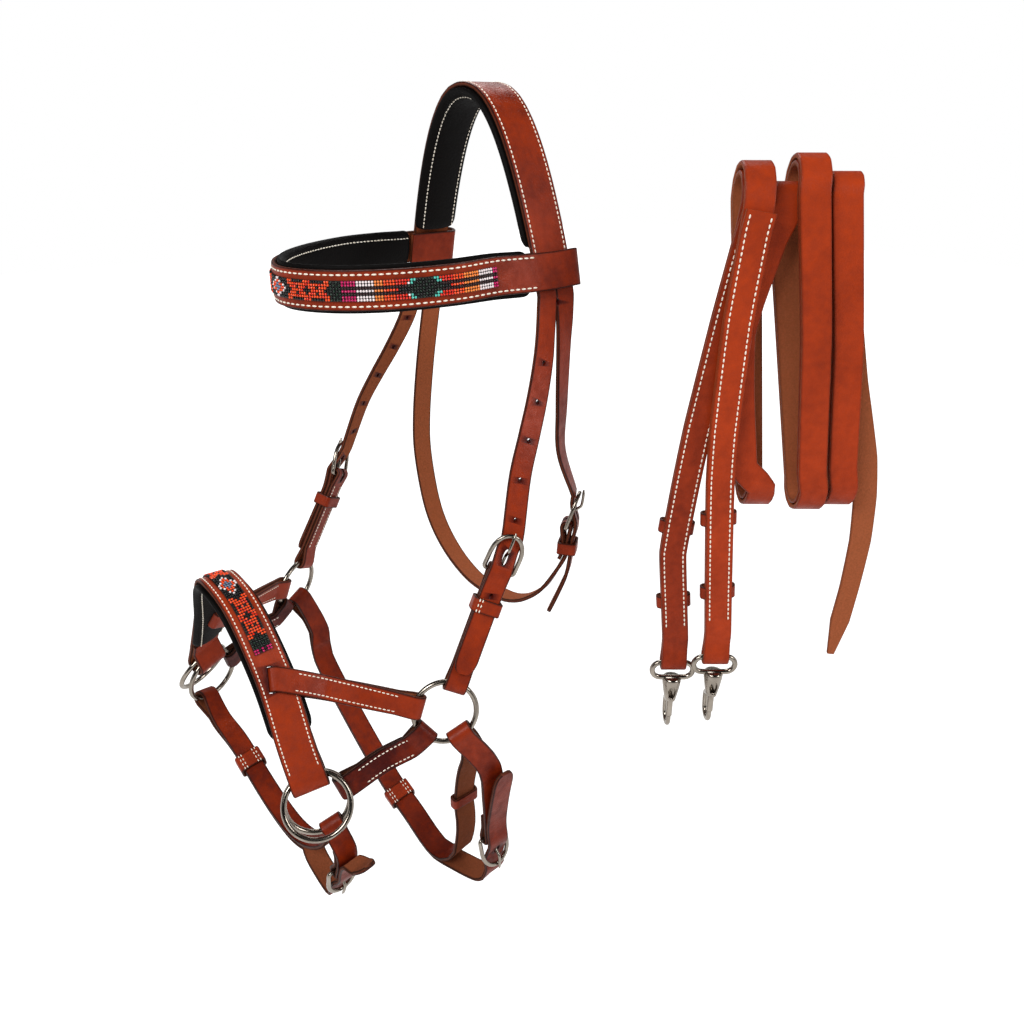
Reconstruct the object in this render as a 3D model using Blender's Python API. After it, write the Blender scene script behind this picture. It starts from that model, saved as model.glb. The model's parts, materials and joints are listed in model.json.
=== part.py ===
"""Sidepull bridle with padded, beaded browband and noseband, and a pair of snap-end reins.

Metres, +Z up. +X is the horse's near (left) side and the horse faces -Y.
The origin is the underside of the padded crown at the poll, where a head carries the bridle.
A strap is swept along stations: a place on its middle surface and the direction of its width.
"""

import math

import bmesh
import bpy
from mathutils import Matrix, Vector

MM = 0.001

# Leather straps: widths, thickness and the clearances between plies and pieces
LEATHER = 3.0 * MM
PLY_GAP = 0.4 * MM
CLEAR = 0.5 * MM
LAYER_GAP = 1.2 * MM
CROWN_WIDTH = 32 * MM
BAND_WIDTH = 25.4 * MM
SIDE_WIDTH = 17 * MM
JAW_WIDTH = 18 * MM
CHIN_WIDTH = 16 * MM
REIN_WIDTH = 19 * MM
KEEPER_WIDTH = 10 * MM
KEEPER_THICKNESS = 2.0 * MM
STITCHED_KEEPER_WIDTH = 14 * MM
HOLE_DIAMETER = 4.4 * MM
HOLE_PITCH = 28 * MM
TIP_LENGTH = 12 * MM

# Padding under the crown, browband and noseband
PAD_OVERHANG = 2.6 * MM
PAD_THICKNESS = 7.0 * MM
PAD_GAP = 0.8 * MM
CROWN_PAD_THICKNESS = 8.0 * MM
CROWN_PAD_DROP = 90 * MM

# Headpiece
CROWN_HALF_WIDTH = 78 * MM
CROWN_RISE = 118 * MM
CROWN_SHAPE = 2.3
SPLIT_DROP = 126 * MM
BROW_DROP = 108 * MM
BROW_REACH = 164 * MM
BROW_LAP = 42 * MM
LOOP_CLEAR = 1.4 * MM
BEAD_WIDTH = 13 * MM
BEAD_THICKNESS = 1.6 * MM
BROW_BEAD_START = 50 * MM
THROAT_BUCKLE_DROP = 306 * MM

# Cheeks: the upper ring, and the buckle above it
RING_UP_SIDE = 120 * MM
RING_UP_FORWARD = 124 * MM
RING_UP_DROP = 398 * MM
RING_UP_FACING = Vector((0.869, -0.455, 0.205))
CHAPE_LENGTH = 108 * MM
CHAPE_INWARD = 5 * MM
CHEEK_TIP = 76 * MM
RING_RADIUS = 22.5 * MM
RING_WIRE = 4.0 * MM
FOLD_LEAD = 11 * MM

# Noseband: the lower rings, and the slit that the side strap passes through
RING_LOW_SIDE = 105 * MM
RING_LOW_FORWARD = 220 * MM
RING_LOW_DROP = 441 * MM
RING_LOW_FACING = Vector((0.747, -0.346, 0.504))
SLIT_SIDE = 60 * MM
SLIT_FORWARD = 222 * MM
SLIT_DROP = 362 * MM
SLIT_OFFSET = 2.5 * MM
SLIT_WIDTH = 4.6 * MM
SLIT_CURVE_ROOM = 0.9 * MM
NOSE_TOP_FORWARD = 229 * MM
NOSE_TOP_DROP = 309 * MM
NOSE_BEAD_HALF = 54 * MM
NOSE_LAP = 24 * MM
NOSE_PAD_START = 27 * MM
INNER_RING_LEAN = 18

# Where each strap sits on its ring, in degrees from the back of the ring upwards
CHEEK_SEAT = 66.5
SIDE_SEAT = 162
LOWER_SIDE_SEAT = 222
JAW_SEAT = 300
JAW_SWING = 22
JAW_FAR_SEAT = 288
JAW_FAR_SWING = 44
NOSE_SEAT = 104
CHIN_SEAT = 294
CHIN_SWING = 8
CHIN_FAR_SEAT = 255
CHIN_FAR_SWING = 62
LOW_SIDE_SEAT = 22

# Buckles
BUCKLE_WIRE = 3.2 * MM
BUCKLE_LENGTH = 28 * MM
BUCKLE_ROUND = 0.55
TONGUE_HOLE = 12 * MM
BUCKLE_LEAN = 15
BUCKLE_ROOM = 3.0 * MM
TONGUE_WIRE = 2.2 * MM
TONGUE_SLOT = 3.6 * MM

# Reins: two straps coiled together, and the bolt snaps in their ends
REIN_PLACE = Vector((200 * MM, 94 * MM, 0))
REIN_TURN = 52
REIN_NEST = 4.1
REIN_1_DEPTH = 16.5
REIN_2_DEPTH = 24
COIL_TIGHT = 8
COIL_WIDE = 16.6
REIN_STEP = 20 * MM
SNAP_1_DROP = 391 * MM
SNAP_2_DROP = 381 * MM
REIN_KEEPER_UPPER = 113.5 * MM
REIN_KEEPER_LOWER = 53.5 * MM
EYE_WIDTH = 35 * MM
EYE_HEIGHT = 17 * MM
EYE_WIRE = 4.0 * MM
BARREL_RADIUS = 6.2 * MM
BARREL_LENGTH = 22 * MM
HOOK_LENGTH = 30 * MM
HOOK_DEPTH = 20 * MM
HOOK_WIRE = 4.6 * MM
BOLT_RADIUS = 2.5 * MM
BORE_CLEAR = 0.4 * MM
BOLT_TRAVEL = 6 * MM
NUB_RADIUS = 1.9 * MM
NUB_OUT = 3 * MM
SPRING_WIRE = 0.6 * MM
SPRING_TURNS = 4

X = Vector((1, 0, 0))
Y = Vector((0, 1, 0))
Z = Vector((0, 0, 1))
PLY = (LEATHER + PLY_GAP) / 2


def material(name, colour, metallic, roughness):
    """One Principled material for each kind of stuff."""
    made = bpy.data.materials.new(name)
    made.use_nodes = True
    shader = made.node_tree.nodes["Principled BSDF"]
    shader.inputs["Base Color"].default_value = (*colour, 1)
    shader.inputs["Metallic"].default_value = metallic
    shader.inputs["Roughness"].default_value = roughness
    return made


for old in list(bpy.data.objects):
    bpy.data.objects.remove(old, do_unlink=True)

CHESTNUT = material("chestnut leather", (0.33, 0.07, 0.025), 0.0, 0.45)
LINING = material("black lining", (0.011, 0.010, 0.009), 0.0, 0.75)
BEADS = material("glass beads", (0.75, 0.09, 0.02), 0.0, 0.25)
NICKEL = material("nickel plate", (0.72, 0.69, 0.63), 1.0, 0.22)
STEEL = material("spring steel", (0.55, 0.54, 0.52), 1.0, 0.3)


def smooth(knots, count):
    """Evenly spaced stations on the Catmull-Rom curve through the knots."""
    fine = []
    ends = [knots[0]] + list(knots) + [knots[-1]]
    steps = 14
    for i in range(1, len(ends) - 2):
        for k in range(steps):
            t = k / steps
            blend = (
                (-t + 2 * t**2 - t**3) / 2,
                (2 - 5 * t**2 + 3 * t**3) / 2,
                (t + 4 * t**2 - 3 * t**3) / 2,
                (-(t**2) + t**3) / 2,
            )
            four = ends[i - 1 : i + 3]
            place = sum((f[0] * b for f, b in zip(four, blend)), Vector())
            width = sum((f[1] * b for f, b in zip(four, blend)), Vector())
            fine.append((place, width))
    fine.append(knots[-1])
    return portion(fine, 0, length(fine), count)


def flowing(knots, step):
    """The knots with evenly spaced stations between any two that are further apart than the step."""
    made = []
    ends = [knots[0]] + list(knots) + [knots[-1]]
    for i in range(1, len(ends) - 2):
        a, b, c, d = ends[i - 1 : i + 3]
        apart = (c[0] - b[0]).length
        count = max(1, round(apart / step))
        start = ((c[0] - a[0]).normalized() + (c[0] - b[0]).normalized()) * apart / 2
        end = ((d[0] - b[0]).normalized() + (c[0] - b[0]).normalized()) * apart / 2
        for k in range(count):
            t = k / count
            u = 1 - t
            place = b[0] * (u**2 * (1 + 2 * t)) + c[0] * (t**2 * (1 + 2 * u))
            place += start * (t * u**2) - end * (t**2 * u)
            made.append((place, b[1].lerp(c[1], t)))
    return made + [knots[-1]]


def length(stations):
    """Length of a route."""
    return sum((b[0] - a[0]).length for a, b in zip(stations, stations[1:]))


def portion(stations, start, end, count):
    """Evenly spaced stations on the stretch between two distances from the route's start."""
    made = []
    travelled = 0
    pairs = list(zip(stations, stations[1:]))
    k = 0
    for i in range(count):
        wanted = start + (end - start) * i / (count - 1)
        step = (pairs[k][1][0] - pairs[k][0][0]).length
        while travelled + step < wanted and k < len(pairs) - 1:
            travelled += step
            k += 1
            step = (pairs[k][1][0] - pairs[k][0][0]).length
        t = min(1, max(0, (wanted - travelled) / step))
        a, b = pairs[k]
        made.append((a[0].lerp(b[0], t), a[1].lerp(b[1], t)))
    return made


def between(stations, start, end):
    """The route's own stations between two distances from its start, with new ones at both ends."""
    made = [portion(stations, start, end, 2)[0]]
    travelled = 0
    for a, b in zip(stations, stations[1:]):
        travelled += (b[0] - a[0]).length
        if start + 1 * MM < travelled < end - 1 * MM:
            made.append(b)
    return made + [portion(stations, start, end, 2)[1]]


def frames(stations, closed=False):
    """(place, width, normal) at each station. The normal is travel x width."""
    made = []
    n = len(stations)
    for i, (place, width) in enumerate(stations):
        before = stations[i - 1][0] if i or closed else place
        after = stations[(i + 1) % n][0] if i < n - 1 or closed else place
        travel = (after - before).normalized()
        across = (width - travel * width.dot(travel)).normalized()
        made.append((place, across, travel.cross(across)))
    return made


def offset(stations, height):
    """The same route moved along its normals."""
    return [(p + n * height, station[1]) for (p, w, n), station in zip(frames(stations), stations)]


def backwards(stations):
    """The route from its other end, its widths as they were."""
    return list(reversed(stations))


def mirrored(stations):
    """The route on the horse's other side."""
    flip = Vector((-1, 1, 1))
    return [(p * flip, w * flip) for p, w in stations]


def rectangle(width, thickness):
    """A strap's section, as (across, out) corners."""
    w, t = width / 2, thickness / 2
    return [(-w, -t), (w, -t), (w, t), (-w, t)]


def cushion(width, thickness):
    """A pad's section: flat on the leather, crowned towards the horse, drawn in at its edges."""
    half = ((0.3, -1), (0.78, -0.78), (1, -0.3), (0.94, 0))
    outline = [(-a, b) for a, b in reversed(half)] + list(half)
    return [(a * width / 2, b * thickness) for a, b in outline]


def finish(name, mesh, look, origin):
    """The object of a bmesh, its faces outwards and its origin where the piece turns or sits."""
    bmesh.ops.recalc_face_normals(mesh, faces=mesh.faces)
    bmesh.ops.translate(mesh, verts=mesh.verts, vec=-origin)
    data = bpy.data.meshes.new(name)
    mesh.to_mesh(data)
    mesh.free()
    data.materials.append(look)
    data.shade_smooth()
    data.set_sharp_from_angle(angle=math.radians(35))
    made = bpy.data.objects.new(name, data)
    made.location = origin
    bpy.context.scene.collection.objects.link(made)
    return made


def skin(mesh, rings, closed, caps=(True, True)):
    """Faces between neighbouring rings of corners, with a cap at each open end."""
    pairs = list(zip(rings, rings[1:]))
    if closed:
        pairs.append((rings[-1], rings[0]))
    for a, b in pairs:
        for i in range(len(a)):
            j = (i + 1) % len(a)
            mesh.faces.new((a[i], a[j], b[j], b[i]))
    if caps[0] and not closed:
        mesh.faces.new(list(reversed(rings[0])))
    if caps[1] and not closed:
        mesh.faces.new(rings[-1])


def sweep(name, stations, section, look=CHESTNUT, closed=False, scales=None, origin=Vector()):
    """A strap: the section carried along the stations."""
    mesh = bmesh.new()
    rings = []
    for i, (place, across, out) in enumerate(frames(stations, closed)):
        s = scales[i] if scales else 1
        rings.append([mesh.verts.new(place + across * a * s + out * b) for a, b in section])
    skin(mesh, rings, closed)
    return finish(name, mesh, look, origin)


def tipped(stations, tip=TIP_LENGTH, least=0.4):
    """The stations with a fine stretch at the end, and the width factors that round it off."""
    whole = length(stations)
    kept = []
    travelled = 0
    for i, station in enumerate(stations):
        if i:
            travelled += (station[0] - stations[i - 1][0]).length
        if travelled < whole - tip - 1 * MM:
            kept.append(station)
    steps = 6
    fine = portion(stations, whole - tip, whole, steps)
    narrowing = [least + (1 - least) * math.sqrt(1 - (i / (steps - 1)) ** 2) for i in range(steps)]
    return kept + fine, [1.0] * len(kept) + narrowing


def clean(stations):
    """The stations without any that nearly coincide."""
    kept = [stations[0]]
    for station in stations[1:]:
        if (station[0] - kept[-1][0]).length > 0.6 * MM:
            kept.append(station)
    return kept


def turned(stations):
    """The same route with its widths the other way."""
    return [(p, -w) for p, w in stations]


def tube(name, points, radii, sides, look=NICKEL, closed=False, origin=Vector()):
    """A round wire along the points."""
    mesh = bmesh.new()
    tube_rings(mesh, points, radii, sides, closed)
    return finish(name, mesh, look, origin)


def tube_rings(mesh, points, radii, sides, closed):
    """Adds the wire's skin to a bmesh."""
    n = len(points)
    travel = []
    for i in range(n):
        before = points[i - 1] if i or closed else points[i]
        after = points[(i + 1) % n] if i < n - 1 or closed else points[i]
        travel.append((after - before).normalized())
    side = travel[0].orthogonal().normalized()
    rings = []
    for i in range(n):
        side = (side - travel[i] * side.dot(travel[i])).normalized()
        up = travel[i].cross(side)
        r = radii[i] if isinstance(radii, list) else radii
        turns = [math.tau * k / sides for k in range(sides)]
        spokes = [(side * math.cos(a) + up * math.sin(a)) * r for a in turns]
        rings.append([mesh.verts.new(points[i] + spoke) for spoke in spokes])
    skin(mesh, rings, closed)


def cut(piece, mesh, name):
    """Takes the bmesh's closed shapes out of the piece."""
    cutter = finish(name, mesh, STEEL, Vector())
    cutter.hide_render = True
    cutter.display_type = "WIRE"
    made = piece.modifiers.new(name, "BOOLEAN")
    made.operation = "DIFFERENCE"
    made.solver = "EXACT"
    made.object = cutter
    return cutter


def add_box(mesh, centre, axes, sizes):
    """A box in a bmesh, along three given directions."""
    turn = Matrix([list(a) for a in axes]).transposed().to_4x4()
    scale = Matrix.Diagonal((*sizes, 1))
    bmesh.ops.create_cube(mesh, size=1, matrix=Matrix.Translation(centre) @ turn @ scale)


def add_hole(mesh, place, out, diameter, stretch=None):
    """A hole's cutter through a strap; stretch is the direction and factor of an oval one."""
    turn = out.to_track_quat("Z", "Y").to_matrix().to_4x4()
    made = bmesh.ops.create_cone(
        mesh,
        cap_ends=True,
        segments=8,
        radius1=diameter / 2,
        radius2=diameter / 2,
        depth=4 * LEATHER,
        matrix=turn,
    )
    for vert in made["verts"]:
        if stretch:
            along, factor = stretch
            vert.co += along * vert.co.dot(along) * (factor - 1)
        vert.co += place


def mirror_copy(piece, name):
    """The same piece on the far side, as an object of its own, its own holes included."""
    graph = bpy.context.evaluated_depsgraph_get()
    bpy.context.view_layer.update()
    mesh = bmesh.new()
    mesh.from_mesh(bpy.data.meshes.new_from_object(piece.evaluated_get(graph)))
    bmesh.ops.transform(mesh, matrix=Matrix.Translation(piece.location), verts=mesh.verts)
    for vert in mesh.verts:
        vert.co.x = -vert.co.x
    bmesh.ops.reverse_faces(mesh, faces=mesh.faces)
    origin = Vector((-piece.location.x, piece.location.y, piece.location.z))
    return finish(name, mesh, piece.data.materials[0], origin)


class Ring:
    """A ring's centre, the way its face looks, and directions in its plane."""

    def __init__(self, centre, facing):
        self.centre = centre
        self.facing = facing.normalized()
        self.back = Z.cross(self.facing).normalized()
        self.up = self.facing.cross(self.back)

    def outwards(self, degrees):
        """From the centre, at an angle from the back of the ring upwards."""
        a = math.radians(degrees)
        return self.back * math.cos(a) + self.up * math.sin(a)

    def fold(self, degrees, width, wires=1, swing=0):
        """How a strap goes round the ring's wire and leaves it, swung inwards about the wire."""
        straight_away = self.outwards(degrees)
        a = math.radians(swing)
        away = straight_away * math.cos(a) - self.facing * math.sin(a)
        facing = self.facing * math.cos(a) + straight_away * math.sin(a)
        sag = RING_RADIUS - math.sqrt(RING_RADIUS**2 - (width / 2) ** 2)
        side_sag = sag * math.sin(a)
        wire = (wires * RING_WIRE + (wires - 1) * (PLY_GAP + 1.8 * MM)) / 2
        return fold_round(
            self.centre + straight_away * (RING_RADIUS - sag / 2) - away * sag * math.cos(a) / 2,
            away,
            facing,
            wire + CLEAR + LEATHER / 2 + side_sag * 0.95,
            sag + 1 * MM,
            sag + RING_WIRE / 2 + FOLD_LEAD,
        )


def fold_round(centre, away, facing, radius, straight, reach):
    """A strap's turn round a bar, from the facing side to the back, and where its plies meet."""
    width = facing.cross(away)
    arc = [(centre + away * straight + facing * radius, width)]
    steps = 6
    for k in range(steps + 1):
        a = math.pi * k / steps
        arc.append((centre + (facing * math.cos(a) - away * math.sin(a)) * radius, width))
    arc.append((centre + away * straight - facing * radius, width))
    return {"arc": arc, "lead": (centre + away * reach, width)}


def squared(fold, lead, beyond):
    """The lead station with its width square to the strap, half way between fold and strap in direction."""
    root = (fold["arc"][0][0] + fold["arc"][-1][0]) / 2
    travel = ((lead[0] - root).normalized() + (beyond[0] - lead[0]).normalized()).normalized()
    return (lead[0], (lead[1] - travel * lead[1].dot(travel)).normalized())


def folded_strap(first, second, on_the_way, count):
    """A closed strap round two folds, its plies stitched together between them."""
    last = (second["lead"][0], -second["lead"][1])
    centre = smooth([first["lead"]] + on_the_way + [last], count)
    centre[0] = squared(first, centre[0], centre[1])
    centre[-1] = squared(second, centre[-1], centre[-2])
    outer = offset(centre, PLY)
    inner = offset(centre, -PLY)
    return clean(backwards(outer) + first["arc"] + inner + turned(backwards(second["arc"])))


# The rings of the near side
ring_up = Ring(Vector((RING_UP_SIDE, -RING_UP_FORWARD, -RING_UP_DROP)), RING_UP_FACING)
ring_low = Ring(Vector((RING_LOW_SIDE, -RING_LOW_FORWARD, -RING_LOW_DROP)), RING_LOW_FACING)
nose_away = ring_low.outwards(NOSE_SEAT)
stack = (RING_WIRE + PLY_GAP) / 2
rein_ring = Ring(ring_low.centre + ring_low.facing * stack, RING_LOW_FACING)
lean = Matrix.Rotation(math.radians(-INNER_RING_LEAN), 3, ring_low.facing.cross(nose_away))
seat = ring_low.centre + nose_away * RING_RADIUS - ring_low.facing * stack
inner_ring = Ring(seat - (lean @ nose_away) * RING_RADIUS, lean @ ring_low.facing)


def ring_piece(name, ring):
    """A welded round ring."""
    steps = 24
    turns = [math.tau * k / steps for k in range(steps)]
    points = [ring.centre + (ring.back * math.cos(a) + ring.up * math.sin(a)) * RING_RADIUS for a in turns]
    return tube(name, points, RING_WIRE / 2, 8, closed=True, origin=ring.centre)


for label, ring in (("cheek_ring", ring_up), ("rein_ring", rein_ring), ("inner_ring", inner_ring)):
    near = ring_piece(f"{label}_near", ring)
    mirror_copy(near, f"{label}_far")


class Buckle:
    """Where a buckle's bar lies, the way its frame points, and its face."""

    def __init__(self, bar, along, width_hint, strap_width):
        self.bar = bar
        self.along = along.normalized()
        across = width_hint - self.along * width_hint.dot(self.along)
        self.across = across.normalized()
        self.facing = self.along.cross(self.across)
        self.strap_width = strap_width
        tilt = math.radians(BUCKLE_LEAN)
        self.frame_along = self.along * math.cos(tilt) + self.facing * math.sin(tilt)
        self.end_height = BUCKLE_LENGTH * math.sin(tilt)

    def at(self, along, height, sideways=0):
        """A place given along the strap, above the bar and across it."""
        return self.bar + self.along * along + self.facing * height + self.across * sideways

    def frame(self, name):
        """The buckle's wire frame, its bar at the heel."""
        half = self.strap_width / 2 + BUCKLE_ROOM
        points = [self.bar + self.across * half * s for s in (-0.9, -0.3, 0.3, 0.9)]
        legs = BUCKLE_LENGTH * (1 - BUCKLE_ROUND)
        points.append(self.bar + self.across * half + self.frame_along * legs * 0.12)
        points.append(self.bar + self.across * half + self.frame_along * legs * 0.6)
        steps = 10
        for k in range(steps + 1):
            a = math.pi * k / steps
            reach = legs + math.sin(a) * BUCKLE_LENGTH * BUCKLE_ROUND
            side = math.cos(a) * half
            points.append(self.bar + self.across * side + self.frame_along * reach)
        points.append(self.bar - self.across * half + self.frame_along * legs * 0.6)
        points.append(self.bar - self.across * half + self.frame_along * legs * 0.12)
        return tube(name, points, BUCKLE_WIRE / 2, 8, closed=True, origin=self.bar)

    def tongue(self, name):
        """The tongue: curled round the bar, up through the strap's hole and onto the frame's end."""
        wire = TONGUE_WIRE / 2
        curl = BUCKLE_WIRE / 2 + PLY_GAP + wire
        turns = [math.radians(d) for d in range(330, 69, -26)]
        points = [self.at(curl * math.cos(a), curl * math.sin(a)) for a in turns]
        rest = self.end_height + BUCKLE_WIRE / 2 + PLY_GAP + wire
        points.append(self.at(TONGUE_HOLE - 5.4 * MM, curl))
        points.append(self.at(TONGUE_HOLE + 0.3 * MM, self.end_height * 0.62))
        points.append(self.at(TONGUE_HOLE + 4.5 * MM, rest - 0.9 * MM))
        points.append(self.at(BUCKLE_LENGTH * 0.82, rest))
        points.append(self.at(BUCKLE_LENGTH + 2 * MM, rest))
        radii = [wire] * (len(points) - 1) + [wire * 0.6]
        return tube(name, points, radii, 6, origin=self.bar)

    def fold(self):
        """The chape's turn round the bar."""
        radius = BUCKLE_WIRE / 2 + PLY_GAP + LEATHER / 2
        return fold_round(self.bar, -self.along, self.facing, radius, 0.5 * MM, 12 * MM)

    def chape_slot(self, mesh):
        """The slot that lets the tongue through the chape's turn."""
        axes = (self.along, self.across, self.facing)
        add_box(mesh, self.at(-0.5 * MM, 0), axes, (13 * MM, TONGUE_SLOT, 10.6 * MM))

    def billet(self):
        """The strap through the buckle: under the frame's end, over the bar, along the chape."""
        under = self.end_height * 0.82 - BUCKLE_WIRE / 2 - CLEAR - LEATHER / 2
        over = BUCKLE_WIRE / 2 + PLY_GAP + LEATHER + CLEAR + LEATHER / 2
        flat = PLY + LEATHER + CLEAR
        places = (
            (BUCKLE_LENGTH + 9 * MM, under + 0.2 * MM),
            (BUCKLE_LENGTH, under + 0.1 * MM),
            (BUCKLE_LENGTH * 0.8, under),
            (BUCKLE_LENGTH * 0.5, under + 1.5 * MM),
            (3 * MM, over + 0.3 * MM),
            (-3 * MM, over),
            (-10 * MM, flat + 0.3 * MM),
            (-22 * MM, flat),
        )
        return [(self.at(*place), -self.across) for place in places]

    def billet_hole(self, mesh):
        """The hole that the tongue stands in, drawn long by wear."""
        centre = self.at(TONGUE_HOLE - 1 * MM, self.end_height * 0.6)
        add_hole(mesh, centre, self.facing, TONGUE_SLOT + 0.6 * MM, (self.along, 2.9))


def keeper(name, centre, along, across, facing, width, low, high, strap_width):
    """A leather loop round a strap's plies."""
    half = strap_width / 2 + CLEAR + KEEPER_THICKNESS / 2
    bottom = low - CLEAR - KEEPER_THICKNESS / 2
    top = high + CLEAR + KEEPER_THICKNESS / 2
    round_off = 1.6 * MM
    stations = []
    for sx, sy in ((1, 1), (-1, 1), (-1, -1), (1, -1)):
        corner_x = sx * (half - round_off)
        corner_y = top - round_off if sy > 0 else bottom + round_off
        start = {(1, 1): 0, (-1, 1): 90, (-1, -1): 180, (1, -1): 270}[(sx, sy)]
        for step in (0, 45, 90):
            a = math.radians(start + step)
            x = corner_x + round_off * math.cos(a)
            y = corner_y + round_off * math.sin(a)
            stations.append((centre + across * x + facing * y, along))
    return sweep(name, stations, rectangle(width, KEEPER_THICKNESS), closed=True, origin=centre)


# Cheek buckles, their chapes and the cheek keepers
chape_width = CROWN_WIDTH / 2
chape_away = ring_up.outwards(CHEEK_SEAT)
cheek_bar = ring_up.centre + chape_away * CHAPE_LENGTH - ring_up.facing * CHAPE_INWARD
cheek_along = cheek_bar - ring_up.centre
cheek_buckle = Buckle(cheek_bar, cheek_along, ring_up.facing.cross(cheek_along), chape_width)
cheek_loop = folded_strap(ring_up.fold(CHEEK_SEAT, chape_width), cheek_buckle.fold(), [], 8)
chape = sweep("cheek_chape_near", cheek_loop, rectangle(chape_width, LEATHER), closed=True)
slot = bmesh.new()
cheek_buckle.chape_slot(slot)
cut(chape, slot, "cheek_slot_cutter")
mirror_copy(chape, "cheek_chape_far")
mirror_copy(cheek_buckle.frame("cheek_buckle_near"), "cheek_buckle_far")
mirror_copy(cheek_buckle.tongue("cheek_tongue_near"), "cheek_tongue_far")


def buckle_keeper(name, buckle, drop):
    """The loose keeper that holds a billet onto the chape of its buckle."""
    return keeper(
        name,
        buckle.at(-drop, 0),
        buckle.along,
        buckle.across,
        buckle.facing,
        KEEPER_WIDTH,
        -PLY - LEATHER / 2,
        PLY + LEATHER * 1.5 + CLEAR,
        buckle.strap_width,
    )


mirror_copy(buckle_keeper("cheek_keeper_near", cheek_buckle, 26 * MM), "cheek_keeper_far")


# Throat buckle, in the end of the throatlatch on the near side
throat_bar = Vector((82 * MM, 21 * MM, -THROAT_BUCKLE_DROP))
throat_facing = Vector((0.75, 0.66, 0)).normalized()
throat_along = Vector((-0.02, 0.1, 0.99))
throat_buckle = Buckle(throat_bar, throat_along, throat_facing.cross(throat_along), chape_width)
throat_buckle.frame("throat_buckle")
throat_buckle.tongue("throat_tongue")
buckle_keeper("throat_keeper", throat_buckle, 17.5 * MM)


# Crown piece: one strap over the poll, split on each side. The near rear branch is the throat
# billet, the far one runs under the throat to the throat buckle.
crown_mid = CROWN_PAD_THICKNESS + PLY_GAP + LEATHER / 2


def crown_place(x):
    """The crown's middle surface over the poll."""
    drop = CROWN_RISE * (abs(x) / CROWN_HALF_WIDTH) ** CROWN_SHAPE
    return Vector((x, 4 * MM * drop / CROWN_RISE, crown_mid - drop))


fork = (Vector((CROWN_HALF_WIDTH + 3 * MM, 5 * MM, -SPLIT_DROP)), Y)
crown_knots = [(crown_place(CROWN_HALF_WIDTH * k / 16), Y) for k in range(-16, 17)]
crown_route = mirrored([fork]) + crown_knots + [fork]
crown_stations = portion(crown_route, 0, length(crown_route), 32)


def knot(x, y, z, width):
    """A station from millimetres."""
    return (Vector((x * MM, y * MM, z * MM)), width)


def hung(ring_drop, x, y, below, width):
    """A station from millimetres, its height given below the ring that the strap hangs from."""
    return knot(x, y, -ring_drop / MM - below, width)


top_width = Vector((0, 0.87, -0.43))
low_width = -cheek_buckle.across
cheek_start = (fork[0] - Y * CROWN_WIDTH / 4, Y)
cheek_end = cheek_buckle.billet()
cheek_bow = (
    (0.168, -0.4, 3.3),
    (0.294, -1.2, 5.2),
    (0.463, -0.6, 3.6),
    (0.631, 0, -0.1),
    (0.799, -0.4, -2.9),
    (0.954, -1.4, -4.3),
)
cheek_knots = []
for i, (share, outward, back) in enumerate(cheek_bow):
    place = cheek_start[0].lerp(cheek_end[0][0], share) + Vector((outward, back, 0)) * MM
    cheek_knots.append((place, top_width.lerp(low_width, (i + 1) / 6)))
for reach, lift in ((50 * MM, 1.2 * MM), (CHEEK_TIP, 2.6 * MM)):
    cheek_end.append((cheek_buckle.at(-reach, PLY + LEATHER + CLEAR + lift), -cheek_buckle.across))
cheek_billet = smooth([cheek_start] + cheek_knots + cheek_end, 36)
throat_width = -throat_buckle.across
throat_points = ((84, 11, -142), (86, 9, -160), (86.5, 8, -206), (86, 9, -240))
throat_knots = [knot(*point, Y.lerp(throat_width, (i + 1) / 5)) for i, point in enumerate(throat_points)]
throat_start = (fork[0] + Y * CROWN_WIDTH / 4, Y)
throat_end = throat_buckle.billet()
throat_end.append(knot(88, 17, -344, throat_width))
throat_end.append(knot(88, 9, -358, throat_width))
throat_end.append(knot(86, 0, -375, throat_width))
throat_billet = smooth([throat_start] + throat_knots + throat_end, 34)
throat_fold = throat_buckle.fold()
hanging_start = [(throat_buckle.at(-d * MM, PLY), throat_width) for d in (12, 24)]
low_points = (
    (81.5, 11, -344),
    (76, 4, -358),
    (67, 0, -368),
    (53, -3, -377),
    (30, -3, -384),
    (-10, -4, -384),
    (-48, -4, -368),
    (-71, -6, -338),
    (-80, -9, -290),
    (-82, -8, -254),
    (-84, -1, -206),
    (-86, 8, -162),
    (-84, 11, -142),
)
far_width = throat_width * Vector((-1, 1, 1))
low_knots = []
for i, point in enumerate(low_points):
    t = (i + 1) / 14
    side = throat_width.lerp(Y, min(1, t * 2.5)) if t < 0.5 else Y.lerp(far_width, 0.25)
    low_knots.append(knot(*point, side))
far_start = (throat_start[0] * Vector((-1, 1, 1)), Y)
hanging = smooth(hanging_start + low_knots + [far_start], 64)
throat_lap = offset(portion(hanging, 0, 18 * MM, 4), -LEATHER - PLY_GAP)
throatlatch = clean(backwards(throat_lap) + backwards(throat_fold["arc"]) + hanging)


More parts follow.
